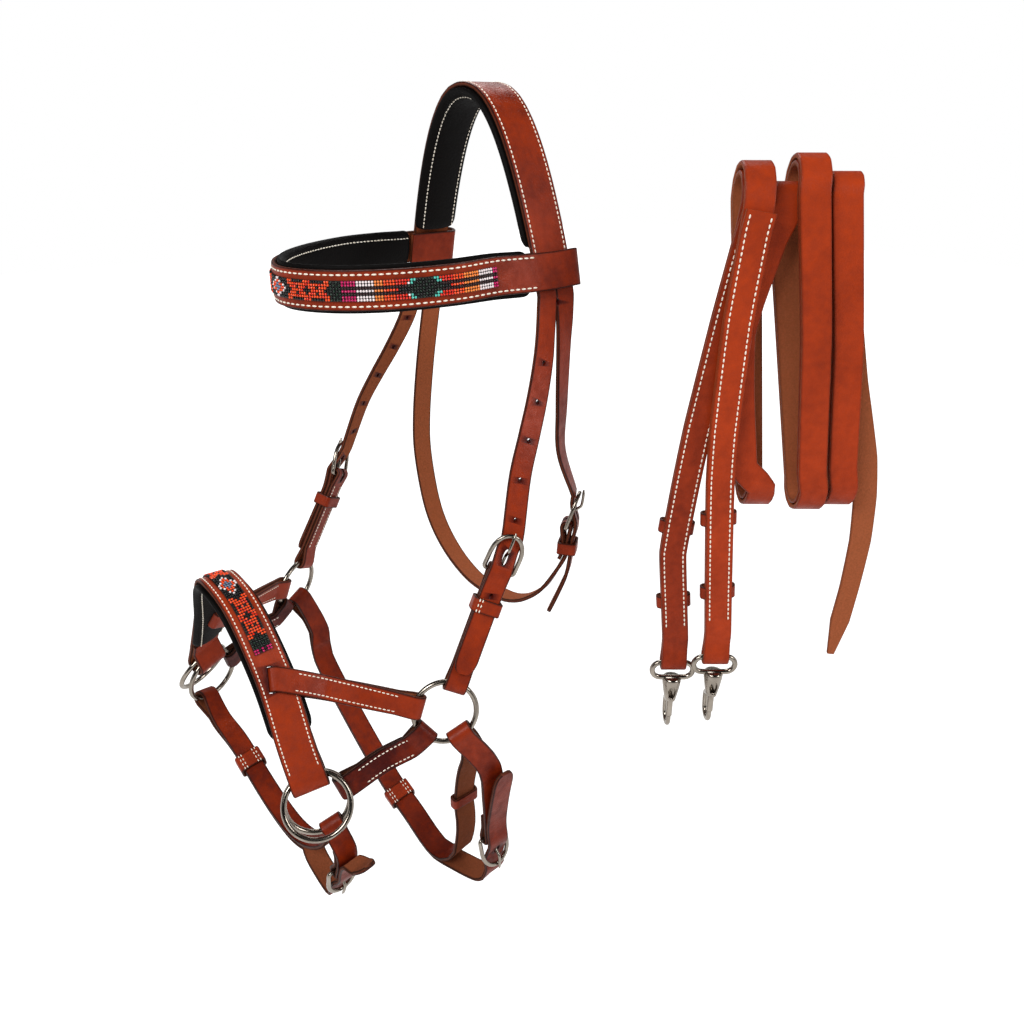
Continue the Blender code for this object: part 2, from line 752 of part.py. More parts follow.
def crown_mesh():
    """The crown with its two branches on each side, all one skin."""
    mesh = bmesh.new()
    w, t = CROWN_WIDTH / 2, LEATHER / 2
    section = ((-w, -t), (0, -t), (w, -t), (w, t), (0, t), (-w, t))
    rings = []
    for place, across, out in frames(crown_stations):
        rings.append([mesh.verts.new(place + across * a + out * b) for a, b in section])
    skin(mesh, rings, closed=False, caps=(False, False))
    near_front = [rings[-1][i] for i in (0, 1, 4, 5)]
    near_rear = [rings[-1][i] for i in (1, 2, 3, 4)]
    far_front = [rings[0][i] for i in (0, 1, 4, 5)]
    far_rear = [rings[0][i] for i in (1, 2, 3, 4)]
    cheek_route, cheek_scales = tipped(cheek_billet)
    throat_route, throat_scales = tipped(throat_billet)
    near_cheek = branch_rings(mesh, cheek_route, cheek_scales)
    near_throat = branch_rings(mesh, throat_route, throat_scales)
    far_cheek = branch_rings(mesh, backwards(mirrored(cheek_route)), cheek_scales[::-1])
    far_throat = branch_rings(mesh, throatlatch, [1.0] * len(throatlatch))
    skin(mesh, [near_front] + near_cheek[1:], closed=False, caps=(False, True))
    skin(mesh, [near_rear] + near_throat[1:], closed=False, caps=(False, True))
    skin(mesh, far_cheek[:-1] + [far_front], closed=False, caps=(True, False))
    skin(mesh, far_throat[:-1] + [far_rear], closed=False, caps=(True, False))
    return mesh


def branch_rings(mesh, stations, scales):
    """Corners of a branch half as wide as the crown."""
    section = rectangle(chape_width, LEATHER)
    made = []
    for scale, (place, across, out) in zip(scales, frames(stations)):
        made.append([mesh.verts.new(place + across * a * scale + out * b) for a, b in section])
    return made


crown = finish("crown_piece", crown_mesh(), CHESTNUT, Vector())
holes = bmesh.new()
add_hole(holes, fork[0] - Z * 1.5 * MM, X, 6 * MM)
add_hole(holes, (fork[0] - Z * 1.5 * MM) * Vector((-1, 1, 1)), X, 6 * MM)
tongue_gap = length(cheek_billet) - CHEEK_TIP - TONGUE_HOLE
for step in (-1, 1, 2, 3, 4, 5):
    spot = portion(cheek_billet, 0, tongue_gap - step * HOLE_PITCH, 12)
    place, across, out = frames(spot)[-1]
    add_hole(holes, place, out, HOLE_DIAMETER)
    add_hole(holes, place * Vector((-1, 1, 1)), out * Vector((-1, 1, 1)), HOLE_DIAMETER)
cut(crown, holes, "crown_hole_cutter")
tongue_holes = bmesh.new()
cheek_buckle.billet_hole(tongue_holes)
throat_buckle.billet_hole(tongue_holes)
far_buckle = Buckle(
    cheek_bar * Vector((-1, 1, 1)),
    cheek_along * Vector((-1, 1, 1)),
    cheek_buckle.across * Vector((1, -1, -1)),
    chape_width,
)
far_buckle.billet_hole(tongue_holes)
cut(crown, tongue_holes, "crown_tongue_cutter")
throat_slot = bmesh.new()
throat_buckle.chape_slot(throat_slot)
cut(crown, throat_slot, "throat_slot_cutter")

pad_knots = []
for k in range(-16, 17):
    x = CROWN_HALF_WIDTH * (CROWN_PAD_DROP / CROWN_RISE) ** (1 / CROWN_SHAPE) * k / 16
    pad_knots.append((crown_place(x), Y))
pad_route = offset(portion(pad_knots, 0, length(pad_knots), 30), -LEATHER / 2 - PLY_GAP)
sweep("crown_padding", pad_route, cushion(CROWN_WIDTH + 2 * PAD_OVERHANG, CROWN_PAD_THICKNESS), LINING)


# Browband: looped round the crown on each side, padded inside and beaded outside
loop_lean = Vector((0.215, 0, -0.977))
loop_out = Vector((0.977, 0, 0.215))
loop_height = LEATHER + LOOP_CLEAR
crown_at_brow = Vector((CROWN_HALF_WIDTH - 0.3 * MM, 4 * MM, -BROW_DROP))
ply_out = crown_at_brow.x + loop_height
brow_front = [
    (Vector((ply_out, 4 * MM, -BROW_DROP)), loop_lean),
    (Vector((ply_out, -14 * MM, -BROW_DROP)), loop_lean),
    (Vector((ply_out - 2 * MM, -30 * MM, -BROW_DROP)), loop_lean),
    (Vector((ply_out - 3.5 * MM, -BROW_LAP - 4 * MM, -BROW_DROP)), loop_lean.lerp(-Z, 0.3)),
    (Vector((ply_out - 6 * MM, -80 * MM, -BROW_DROP)), -Z),
    (Vector((61 * MM, -121 * MM, -BROW_DROP)), -Z),
    (Vector((34 * MM, -152 * MM, -BROW_DROP)), -Z),
]
brow_top = (Vector((0, -BROW_REACH, -BROW_DROP)), -Z)
brow_knots = brow_front + [brow_top] + backwards(mirrored(brow_front))
brow_route = smooth(brow_knots, 52)
lap_start = CROWN_WIDTH / 2 + 14 * MM
lap_end = BROW_LAP + 4 * MM
brow_lap = offset(portion(brow_route, lap_start, lap_end, 5), -LEATHER - PLY_GAP)
loop_back = crown_at_brow + Y * (CROWN_WIDTH / 2 + 1 * MM)
loop_arc = []
for k in range(7):
    a = math.pi * k / 6
    bend_out = loop_out * math.cos(a) + Y * math.sin(a)
    loop_arc.append((loop_back + bend_out * loop_height, loop_lean))
inside = [(crown_at_brow - loop_out * loop_height + Y * d * MM, loop_lean) for d in (12, 0, -12, -18)]
near_loop = backwards(brow_lap) + backwards(inside) + backwards(loop_arc)
brow_all = clean(near_loop + brow_route + backwards(mirrored(near_loop)))
sweep("browband_leather", brow_all, rectangle(BAND_WIDTH, LEATHER))
whole = length(brow_route)
brow_pad_start = lap_end + 1.5 * MM
brow_pad = offset(between(brow_route, brow_pad_start, whole - brow_pad_start), -LEATHER / 2 - PAD_GAP)
sweep("browband_padding", brow_pad, cushion(BAND_WIDTH + 2 * PAD_OVERHANG, PAD_THICKNESS), LINING)
bead_height = LEATHER / 2 + PLY_GAP + BEAD_THICKNESS / 2
brow_beads = offset(between(brow_route, BROW_BEAD_START, whole - BROW_BEAD_START), bead_height)
sweep("browband_beads", brow_beads, rectangle(BEAD_WIDTH, BEAD_THICKNESS), BEADS)


# Noseband: folded round both lower rings at each end, padded and beaded
nose_fold = ring_low.fold(NOSE_SEAT, BAND_WIDTH, wires=2)
nose_width = nose_fold["lead"][1]
slit_point = Vector((SLIT_SIDE, -SLIT_FORWARD, -SLIT_DROP))
nose_near = [
    nose_fold["arc"][0],
    (nose_fold["arc"][0][0] + nose_away * 20 * MM, nose_width),
    (slit_point, nose_width.lerp(-Y, 0.6)),
    (Vector((30 * MM, -226 * MM, -322 * MM)), -Y),
]
nose_top = (Vector((0, -NOSE_TOP_FORWARD, -NOSE_TOP_DROP)), -Y)
nose_route = smooth(nose_near + [nose_top] + backwards(mirrored(nose_near)), 50)
nose_whole = length(nose_route)
nose_lap = offset(portion(nose_route, 12 * MM, NOSE_LAP, 4), -LEATHER - PLY_GAP)
near_end = backwards(nose_lap) + backwards(nose_fold["arc"])
nose_all = clean(near_end + nose_route + backwards(mirrored(near_end)))
noseband = sweep("noseband_leather", nose_all, rectangle(BAND_WIDTH, LEATHER))
nose_pad_route = between(nose_route, NOSE_PAD_START, nose_whole - NOSE_PAD_START)
nose_pad = sweep(
    "noseband_padding",
    offset(nose_pad_route, -LEATHER / 2 - PAD_GAP),
    cushion(BAND_WIDTH + 2 * PAD_OVERHANG, PAD_THICKNESS),
    LINING,
)
nose_middle = between(nose_route, nose_whole / 2 - NOSE_BEAD_HALF, nose_whole / 2 + NOSE_BEAD_HALF)
nose_beads = offset(nose_middle, bead_height)
sweep("noseband_beads", nose_beads, rectangle(BEAD_WIDTH, BEAD_THICKNESS), BEADS)


# Upper side straps: through the noseband's slit, round its rear half, and round the cheek ring
slit_place, slit_front, slit_out = min(frames(nose_route), key=lambda f: (f[0] - slit_point).length)
slit_place = slit_place + slit_front * SLIT_OFFSET
side_seat = ring_up.centre + ring_up.outwards(SIDE_SEAT) * RING_RADIUS
towards = side_seat - slit_place
towards = (towards - slit_out * towards.dot(slit_out)).normalized()
slit_away = (towards * 0.8 - slit_front).normalized()
slit_width = slit_out.cross(slit_away)
over_band = LEATHER + PLY_GAP + 0.4 * MM
under_pad = LEATHER + PAD_GAP + PAD_THICKNESS + CLEAR + SLIT_CURVE_ROOM
bend = 2.4 * MM
slit_path = (
    (27 * MM, over_band - 0.3 * MM),
    (18 * MM, over_band),
    (8 * MM, over_band),
    (bend, over_band),
    (bend * 0.29, over_band - bend * 0.29),
    (0, over_band - bend),
    (0, bend - under_pad),
    (bend * 0.29, bend * 0.29 - under_pad),
    (bend, -under_pad),
    (10 * MM, -under_pad),
    (21 * MM, -under_pad),
    (29 * MM, 1 * MM - under_pad * 0.55),
)
slit_fold = {
    "arc": [(slit_place + slit_away * s + slit_out * h, slit_width) for s, h in slit_path],
    "lead": (slit_place + slit_away * 38 * MM, slit_width),
}
side_loop = folded_strap(slit_fold, ring_up.fold(SIDE_SEAT, SIDE_WIDTH), [], 9)
side = sweep("side_strap_upper_near", side_loop, rectangle(SIDE_WIDTH, LEATHER), closed=True)
mirror_copy(side, "side_strap_upper_far")
slits = bmesh.new()
for sign in (1, -1):
    flip = Vector((sign, 1, 1))
    axes = (slit_width * flip, slit_away * flip, slit_out * flip)
    slit_middle = (slit_place - slit_out * 4 * MM) * flip
    add_box(slits, slit_middle, axes, (SIDE_WIDTH + 3 * MM, SLIT_WIDTH, 30 * MM))
slit_cutter = cut(noseband, slits, "slit_cutter")
pad_slit = nose_pad.modifiers.new("slit", "BOOLEAN")
pad_slit.operation = "DIFFERENCE"
pad_slit.solver = "EXACT"
pad_slit.object = slit_cutter

# Lower side straps: between the inner ring and the cheek ring
low_bow = (inner_ring.centre + ring_up.centre) / 2 + Vector((1, 0, -3)) * MM
low_travel = ring_up.centre - inner_ring.centre
low_width = (inner_ring.facing + ring_up.facing).cross(low_travel).normalized()
low_fold = inner_ring.fold(LOW_SIDE_SEAT, SIDE_WIDTH)
high_fold = ring_up.fold(LOWER_SIDE_SEAT, SIDE_WIDTH)
low_loop = folded_strap(low_fold, high_fold, [(low_bow, low_width)], 8)
low_side = sweep("side_strap_lower_near", low_loop, rectangle(SIDE_WIDTH, LEATHER), closed=True)
mirror_copy(low_side, "side_strap_lower_far")


def belt(near_fold, far_fold, outer_leg, buckle, loop_points, out_points, tip_points, count):
    """A strap buckled round both rings in two layers, from its chape at the buckle to its tip."""
    arc = near_fold["arc"]
    far_arc = mirrored(far_fold["arc"])
    upper = smooth([arc[-1]] + loop_points + [far_arc[-1]], count)
    whole = length(upper)
    lower = offset(portion(upper, out_points[0], whole - 16 * MM, count - 8), LEATHER + LAYER_GAP)
    width = buckle.across
    bar_arc = turned(backwards(buckle.fold()["arc"]))
    leg = smooth([(buckle.at(-12 * MM, PLY), width)] + outer_leg + [arc[0]], 12)
    chape = backwards(offset(portion(leg, 0, 13 * MM, 4), LEATHER + PLY_GAP))
    billet = turned(buckle.billet())
    rising = smooth([backwards(lower)[-1]] + out_points[1:] + billet + tip_points, 28)
    layers = clean(arc + upper + backwards(far_arc) + backwards(lower))
    route = clean(chape + bar_arc + leg[:-1] + layers + rising)
    return route, upper


def layer_keeper(name, upper, distance, strap_width):
    """A keeper stitched round both layers of a belt."""
    place, across, out = frames(portion(upper, distance - 4 * MM, distance + 4 * MM, 3))[1]
    high = LEATHER * 1.5 + LAYER_GAP
    along = across.cross(out)
    return keeper(name, place, along, across, out, STITCHED_KEEPER_WIDTH, -LEATHER / 2, high, strap_width)


# Jaw strap: buckled round both cheek rings, under the jaw
jaw_fold = ring_up.fold(JAW_SEAT, JAW_WIDTH, swing=JAW_SWING)
jaw_far_fold = ring_up.fold(JAW_FAR_SEAT, JAW_WIDTH, swing=JAW_FAR_SWING)
jaw_side = jaw_fold["lead"][1]
jaw_far_side = jaw_far_fold["lead"][1] * Vector((-1, 1, 1))
jaw_low = Vector((0, 0.95, 0.3))
jaw_bar = hung(RING_UP_DROP, 129, -90, 126, jaw_low)[0]
jaw_buckle = Buckle(jaw_bar, Vector((-0.12, 0.06, -0.99)), Vector((0, 0.97, 0.1)), JAW_WIDTH)
jaw_leg = [
    hung(RING_UP_DROP, 135.5, -94, 82, jaw_side.lerp(jaw_low, 0.7)),
    hung(RING_UP_DROP, 138, -99, 50, jaw_side.lerp(jaw_low, 0.3)),
]
jaw_points = [
    hung(RING_UP_DROP, 122, -102, 42, jaw_side),
    hung(RING_UP_DROP, 111, -100, 70, jaw_side.lerp(jaw_low, 0.5)),
    hung(RING_UP_DROP, 104, -99, 102, jaw_low),
    hung(RING_UP_DROP, 103, -97, 132, jaw_low),
    hung(RING_UP_DROP, 96, -99, 162, jaw_low),
    hung(RING_UP_DROP, 73, -104, 175, jaw_low),
    hung(RING_UP_DROP, 31, -105, 162, jaw_low),
    hung(RING_UP_DROP, 0, -107, 149, jaw_low),
    hung(RING_UP_DROP, -55, -110, 112, jaw_low),
    hung(RING_UP_DROP, -103, -112, 74, jaw_low),
    hung(RING_UP_DROP, -115, -108, 52, jaw_low.lerp(jaw_far_side, 0.5)),
]
jaw_out = [168 * MM, hung(RING_UP_DROP, 118, -93, 172, jaw_low)]
jaw_tip = [hung(RING_UP_DROP, 142, -92, 80, jaw_low), hung(RING_UP_DROP, 147, -91, 54, jaw_low)]
jaw_route, jaw_upper = belt(jaw_fold, jaw_far_fold, jaw_leg, jaw_buckle, jaw_points, jaw_out, jaw_tip, 38)
jaw_stations, jaw_scales = tipped(jaw_route)
jaw = sweep("jaw_strap", jaw_stations, rectangle(JAW_WIDTH, LEATHER), scales=jaw_scales)
jaw_buckle.frame("jaw_buckle")
jaw_buckle.tongue("jaw_tongue")
layer_keeper("jaw_keeper_stitched", jaw_upper, 240 * MM, JAW_WIDTH)
loop_place, loop_across, loop_face = frames(portion(jaw_upper, 84 * MM, 92 * MM, 3))[1]
keeper(
    "jaw_keeper_loop",
    loop_place,
    loop_across.cross(loop_face),
    loop_across,
    loop_face,
    KEEPER_WIDTH,
    -LEATHER / 2,
    LEATHER / 2,
    JAW_WIDTH,
)
jaw_holes = bmesh.new()
jaw_buckle.billet_hole(jaw_holes)
cut(jaw, jaw_holes, "jaw_hole_cutter")
jaw_slot = bmesh.new()
jaw_buckle.chape_slot(jaw_slot)
cut(jaw, jaw_slot, "jaw_slot_cutter")

# Chin strap: buckled round both inner rings, behind the chin
chin_fold = inner_ring.fold(CHIN_SEAT, CHIN_WIDTH, swing=CHIN_SWING)
chin_far_fold = inner_ring.fold(CHIN_FAR_SEAT, CHIN_WIDTH, swing=CHIN_FAR_SWING)
chin_side = chin_fold["lead"][1]
chin_far_side = chin_far_fold["lead"][1] * Vector((-1, 1, 1))
chin_low = Vector((0, 0.96, 0.2))
chin_bar = hung(RING_LOW_DROP, 107, -207, 62, chin_low)[0]
chin_buckle = Buckle(chin_bar, Vector((-0.5, 0, -0.86)), Vector((0, 1, 0.1)), CHIN_WIDTH)
chin_leg = [hung(RING_LOW_DROP, 115, -207, 41, chin_low)]
chin_points = [
    hung(RING_LOW_DROP, 96, -204, 39, chin_side.lerp(chin_low, 0.5)),
    hung(RING_LOW_DROP, 85, -206, 55, chin_low),
    hung(RING_LOW_DROP, 67, -210, 66, chin_low),
    hung(RING_LOW_DROP, 46, -213, 70, chin_low),
    hung(RING_LOW_DROP, 20, -214, 69, chin_low),
    hung(RING_LOW_DROP, -9, -215, 62, chin_low),
    hung(RING_LOW_DROP, -51, -217, 46, chin_low),
    hung(RING_LOW_DROP, -79, -220, 36, chin_low.lerp(chin_far_side, 0.6)),
]
chin_out = [62 * MM, hung(RING_LOW_DROP, 70, -210, 81, chin_low)]
chin_tip = [hung(RING_LOW_DROP, 129, -204, 46, chin_low), hung(RING_LOW_DROP, 141, -203, 37, chin_low)]
chin_route, chin_upper = belt(
    chin_fold, chin_far_fold, chin_leg, chin_buckle, chin_points, chin_out, chin_tip, 36
)
chin_stations, chin_scales = tipped(chin_route)
chin = sweep("chin_strap", chin_stations, rectangle(CHIN_WIDTH, LEATHER), scales=chin_scales)
chin_buckle.frame("chin_buckle")
chin_buckle.tongue("chin_tongue")
layer_keeper("chin_keeper_stitched", chin_upper, 160 * MM, CHIN_WIDTH)
chin_holes = bmesh.new()
chin_buckle.billet_hole(chin_holes)
cut(chin, chin_holes, "chin_hole_cutter")
chin_slot = bmesh.new()
chin_buckle.chape_slot(chin_slot)
cut(chin, chin_slot, "chin_slot_cutter")


# Reins: two split reins coiled up together. Each starts at a snap, runs up in two plies stitched
# together, goes over the top and comes round three times more.
rein_right = Vector((math.cos(math.radians(REIN_TURN)), math.sin(math.radians(REIN_TURN)), 0))
rein_front = Vector((math.sin(math.radians(REIN_TURN)), -math.cos(math.radians(REIN_TURN)), 0))


def rein_at(side, drop, depth):
    """A station of a rein: sideways, down and forwards in millimetres, its width along the coil's axis."""
    return (REIN_PLACE + rein_right * side * MM + rein_front * depth * MM - Z * drop * MM, rein_right)


def turn_round(side, drop, front, back, up):
    """A half turn of a rein over the coil's top, or under its bottom, from one depth to another."""
    middle = (front + back) / 2
    radius = abs(front - back) / 2
    way = 1 if front > back else -1
    made = []
    for k in range(7):
        a = math.pi * k / 6
        depth = middle + way * radius * math.cos(a)
        made.append(rein_at(side + 2 * (k / 6 - 0.5), drop - up * radius * math.sin(a), depth))
    return made


def rein(name, front, snap_drop, lap_depth, turns, tail):
    """One rein, from the end of its doubled ply down round the snap's eye and up to its free tip.

    The front is given as sideways millimetres and shares of the way down to the snap.
    """
    main = turns[0][0]
    side = front[0][0]
    middle = (lap_depth + main) / 2
    grip = (EYE_WIRE / 2 + CLEAR + LEATHER / 2) / MM
    lap_knots = [rein_at(s, share * snap_drop, lap_depth) for s, share in reversed(front)]
    lap_knots.append(rein_at(side, snap_drop - 13, lap_depth))
    eye_turn = [rein_at(side, snap_drop - 2, middle + grip)]
    for k in range(7):
        a = math.pi * k / 6
        eye_turn.append(rein_at(side, snap_drop + grip * math.sin(a), middle + grip * math.cos(a)))
    eye_turn.append(rein_at(side, snap_drop - 2, middle - grip))
    up_knots = [rein_at(side, snap_drop - 13, main)]
    up_knots += [rein_at(s, share * snap_drop, main) for s, share in front]
    coil = []
    for i, (depth, back, top_side, top_drop, low_side, low_drop, through) in enumerate(turns):
        coil += turn_round(top_side, top_drop, depth, -back, 1)
        if low_side is None:
            break
        coil.append(rein_at((top_side + low_side) / 2, (top_drop + low_drop) / 2, -back))
        coil += turn_round(low_side, low_drop, -back, turns[i + 1][0], -1)
        coil += [rein_at(s, d, turns[i + 1][0]) for s, d in through]
    coil += [rein_at(s, d, -turns[-1][1]) for s, d in tail]
    route = clean(flowing(lap_knots, REIN_STEP) + eye_turn + flowing(up_knots + coil, REIN_STEP))
    stations, scales = tipped(route, tip=26 * MM, least=0.15)
    return sweep(name, stations, rectangle(REIN_WIDTH, LEATHER), scales=scales)


rein_1_front = (
    (-51, 0.946),
    (-55, 0.844),
    (-58, 0.762),
    (-56, 0.701),
    (-53, 0.627),
    (-48, 0.522),
    (-36, 0.332),
    (-26, 0.192),
)
rein_2_front = (
    (-21.5, 0.945),
    (-24, 0.866),
    (-28, 0.735),
    (-31, 0.63),
    (-32, 0.535),
    (-30, 0.341),
    (-25, 0.197),
)


def rein_turns(nest, main):
    """Each turn of the coil: its depth in front and behind, and where it passes over and under."""
    tight = COIL_TIGHT + nest
    wide = COIL_WIDE + nest
    return (
        (main, wide, -23, 59, 1, 250, ((-12, 235), (-24, 141), (-10, 80))),
        (tight, tight, -1, 61, 35, 250, ((33, 235), (23, 141), (14, 80))),
        (wide, wide, 11, 53, 59, 250, ((57, 235), (48, 150), (37, 80))),
        (tight, tight, 34, 55, None, None, None),
    )


long_tail = ((44, 100), (63, 180), (79, 235), (84, 265), (86, 300), (84, 340), (78, 399))
short_tail = ((40, 100), (54, 180), (66, 232))
lap_rise = (LEATHER + PLY_GAP) / MM
inner_turns = rein_turns(0, REIN_1_DEPTH)
outer_turns = rein_turns(REIN_NEST, REIN_2_DEPTH)
rein("rein_1", rein_1_front, SNAP_1_DROP / MM, REIN_1_DEPTH + lap_rise, inner_turns, long_tail)
rein("rein_2", rein_2_front, SNAP_2_DROP / MM, REIN_2_DEPTH + lap_rise, outer_turns, short_tail)

for label, depth, front, snap_drop in (
    ("1", REIN_1_DEPTH, rein_1_front, SNAP_1_DROP),
    ("2", REIN_2_DEPTH, rein_2_front, SNAP_2_DROP),
):
    run = frames(flowing([rein_at(s, share * snap_drop / MM, depth) for s, share in front], 4 * MM))
    for which, above in (("upper", REIN_KEEPER_UPPER), ("lower", REIN_KEEPER_LOWER)):
        place, across, out = min(run, key=lambda f: abs(f[0].z + snap_drop - above))
        low = -LEATHER * 1.5 - PLY_GAP
        name = f"rein_keeper_{which}_{label}"
        keeper(name, place, across.cross(out), across, out, KEEPER_WIDTH, low, LEATHER / 2, REIN_WIDTH)


# Bolt snaps in the rein ends: a cast body with its eye and hook, a sliding bolt and its spring
def snap_place(origin, side, forward, up):
    """A place on a snap, from its eye's top bar."""
    return origin + rein_right * side + rein_front * forward + Z * up


def shape(name, mesh):
    """A hidden shape that is joined to a piece or cut from it."""
    made = finish(name, mesh, NICKEL, Vector())
    made.hide_render = True
    made.display_type = "WIRE"
    return made


def merge(piece, other, operation):
    """Joins a shape to the piece or cuts it out."""
    made = piece.modifiers.new(other.name, "BOOLEAN")
    made.operation = operation
    made.solver = "EXACT"
    made.object = other


def rod(mesh, start, end, radius, sides=16):
    """A cylinder between two places, in a bmesh."""
    tube_rings(mesh, [start, start.lerp(end, 0.5), end], radius, sides, False)


def snap(label, origin):
    """A snap's body, bolt and spring, hung by its eye's top bar at the origin."""
    eye_low = EYE_WIRE - EYE_HEIGHT
    half = EYE_WIDTH / 2 - EYE_WIRE / 2
    corner = -eye_low / 2
    eye = bmesh.new()
    points = []
    for start, sx in ((90, -1), (-90, 1)):
        for k in range(9):
            a = math.radians(start + 180 * k / 8)
            across = sx * (half - corner) + corner * math.cos(a)
            points.append(snap_place(origin, across, 0, eye_low / 2 + corner * math.sin(a)))
    tube_rings(eye, points, EYE_WIRE / 2, 8, True)
    barrel_top = eye_low + 1 * MM
    barrel_low = barrel_top - BARREL_LENGTH
    barrel = bmesh.new()
    profile = ((0, 0.8), (0.08, 1), (0.3, 1), (0.85, 0.86), (1, 0.8))
    spots = [snap_place(origin, 0, 0, barrel_top - BARREL_LENGTH * t) for t, _ in profile]
    tube_rings(barrel, spots, [BARREL_RADIUS * r for _, r in profile], 20, False)
    body = finish(f"snap_body_{label}", barrel, NICKEL, origin)
    merge(body, shape(f"snap_eye_{label}", eye), "UNION")
    hook = bmesh.new()
    bottom = barrel_low - HOOK_LENGTH + HOOK_WIRE / 2
    turn_radius = (HOOK_DEPTH - HOOK_WIRE) / 2
    spine = [snap_place(origin, 0, -2 * MM, barrel_low + 6 * MM)]
    spine.append(snap_place(origin, 0, -5 * MM, barrel_low - 1 * MM))
    spine.append(snap_place(origin, 0, -2 * turn_radius, barrel_low - 8 * MM))
    for k in range(9):
        a = math.pi + math.pi * k / 8
        low = bottom + turn_radius * (1 + math.sin(a)) + 2 * MM
        spine.append(snap_place(origin, 0, turn_radius * (math.cos(a) - 1), low))
    hook_tip = bottom + turn_radius + 5 * MM
    spine.append(snap_place(origin, 0, 0, hook_tip))
    tube_rings(hook, spine, HOOK_WIRE / 2, 10, False)
    merge(body, shape(f"snap_hook_{label}", hook), "UNION")
    bore_top = barrel_top - 4 * MM
    bore = bmesh.new()
    bore_end = snap_place(origin, 0, 0, barrel_low - 3 * MM)
    rod(bore, snap_place(origin, 0, 0, bore_top), bore_end, BOLT_RADIUS + BORE_CLEAR)
    merge(body, shape(f"snap_bore_{label}", bore), "DIFFERENCE")
    nub_rest = barrel_low + 5.5 * MM
    slot = bmesh.new()
    slot_low = nub_rest - NUB_RADIUS - BORE_CLEAR
    slot_high = nub_rest + BOLT_TRAVEL + NUB_RADIUS + BORE_CLEAR
    centre = snap_place(origin, 0, 6 * MM, (slot_low + slot_high) / 2)
    axes = (rein_right, rein_front, Z)
    add_box(slot, centre, axes, (2 * (NUB_RADIUS + BORE_CLEAR), 12 * MM, slot_high - slot_low))
    merge(body, shape(f"snap_slot_{label}", slot), "DIFFERENCE")
    bolt_top = nub_rest + 3 * MM
    bolt_mesh = bmesh.new()
    bolt_low = hook_tip + BORE_CLEAR
    rod(bolt_mesh, snap_place(origin, 0, 0, bolt_top), snap_place(origin, 0, 0, bolt_low), BOLT_RADIUS)
    bolt = finish(f"snap_bolt_{label}", bolt_mesh, NICKEL, snap_place(origin, 0, 0, nub_rest))
    nub = bmesh.new()
    nub_end = snap_place(origin, 0, BARREL_RADIUS + NUB_OUT, nub_rest)
    rod(nub, snap_place(origin, 0, 0, nub_rest), nub_end, NUB_RADIUS, 12)
    merge(bolt, shape(f"snap_nub_{label}", nub), "UNION")
    coil_radius = BOLT_RADIUS - SPRING_WIRE / 2
    low = bolt_top + SPRING_WIRE / 2 + 0.2 * MM
    high = bore_top - SPRING_WIRE / 2 - 0.2 * MM
    steps = SPRING_TURNS * 8
    helix = []
    for k in range(steps + 1):
        a = math.tau * k / 8
        up = low + (high - low) * k / steps
        helix.append(snap_place(origin, coil_radius * math.cos(a), coil_radius * math.sin(a), up))
    tube(f"snap_spring_{label}", helix, SPRING_WIRE / 2, 5, STEEL, origin=snap_place(origin, 0, 0, high))


snap("1", rein_at(rein_1_front[0][0], SNAP_1_DROP / MM, REIN_1_DEPTH + lap_rise / 2)[0])
snap("2", rein_at(rein_2_front[0][0], SNAP_2_DROP / MM, REIN_2_DEPTH + lap_rise / 2)[0])
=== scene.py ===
"""A beaded sidepull bridle of chestnut bridle leather, with its snap-end reins coiled beside it.

Metres, +Z up. The horse faces -Y and its near side is +X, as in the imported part.
"""

import json
from math import copysign, cos, pi, radians, sin, sqrt, tau

import bmesh
import bpy
from mathutils import Matrix, Vector


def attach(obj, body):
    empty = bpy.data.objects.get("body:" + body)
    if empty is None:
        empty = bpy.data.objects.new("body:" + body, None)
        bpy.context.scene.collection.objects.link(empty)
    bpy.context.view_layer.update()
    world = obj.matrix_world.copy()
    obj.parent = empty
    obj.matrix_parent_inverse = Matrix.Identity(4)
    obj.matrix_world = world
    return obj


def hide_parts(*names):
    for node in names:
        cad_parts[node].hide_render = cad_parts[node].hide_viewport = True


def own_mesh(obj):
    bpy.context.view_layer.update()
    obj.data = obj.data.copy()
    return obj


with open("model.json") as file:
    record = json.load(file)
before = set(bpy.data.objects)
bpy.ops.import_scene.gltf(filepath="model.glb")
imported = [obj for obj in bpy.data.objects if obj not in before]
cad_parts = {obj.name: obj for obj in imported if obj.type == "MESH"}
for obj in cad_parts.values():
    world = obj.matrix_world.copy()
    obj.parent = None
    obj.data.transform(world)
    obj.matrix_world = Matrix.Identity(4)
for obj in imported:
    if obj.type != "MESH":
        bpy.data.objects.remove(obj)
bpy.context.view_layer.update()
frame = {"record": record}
scene = bpy.context.scene
record = frame["record"]
body_of = {node: body for body, nodes in record["behaviour"]["bodies"].items() for node in nodes}
MM = 0.001
X = Vector((1, 0, 0))
Y = Vector((0, 1, 0))
Z = Vector((0, 0, 1))


# Camera: it stands at the near side, a little in front of the cheek and level with the browband,
# with a slightly wide lens, as the photograph was taken.
LENS = 31.64
CAMERA_PLACE = (0.5659, -0.4103, -0.0093)
# Its right, its up and its backward direction
CAMERA_AXES = ((0.6131, 0.7900, 0.0012), (-0.3203, 0.2471, 0.9145), (0.7222, -0.5611, 0.4045))


def placed(name, data):
    """A new object in the scene."""
    made = bpy.data.objects.new(name, data)
    scene.collection.objects.link(made)
    return made


camera = bpy.data.cameras.new("camera")
camera.sensor_width = 36
camera.lens = LENS
camera.clip_start = 0.01
viewer = placed("camera", camera)
viewer.matrix_world = Matrix.Translation(CAMERA_PLACE) @ Matrix(CAMERA_AXES).transposed().to_4x4()
scene.camera = viewer
scene.view_settings.view_transform = "Standard"


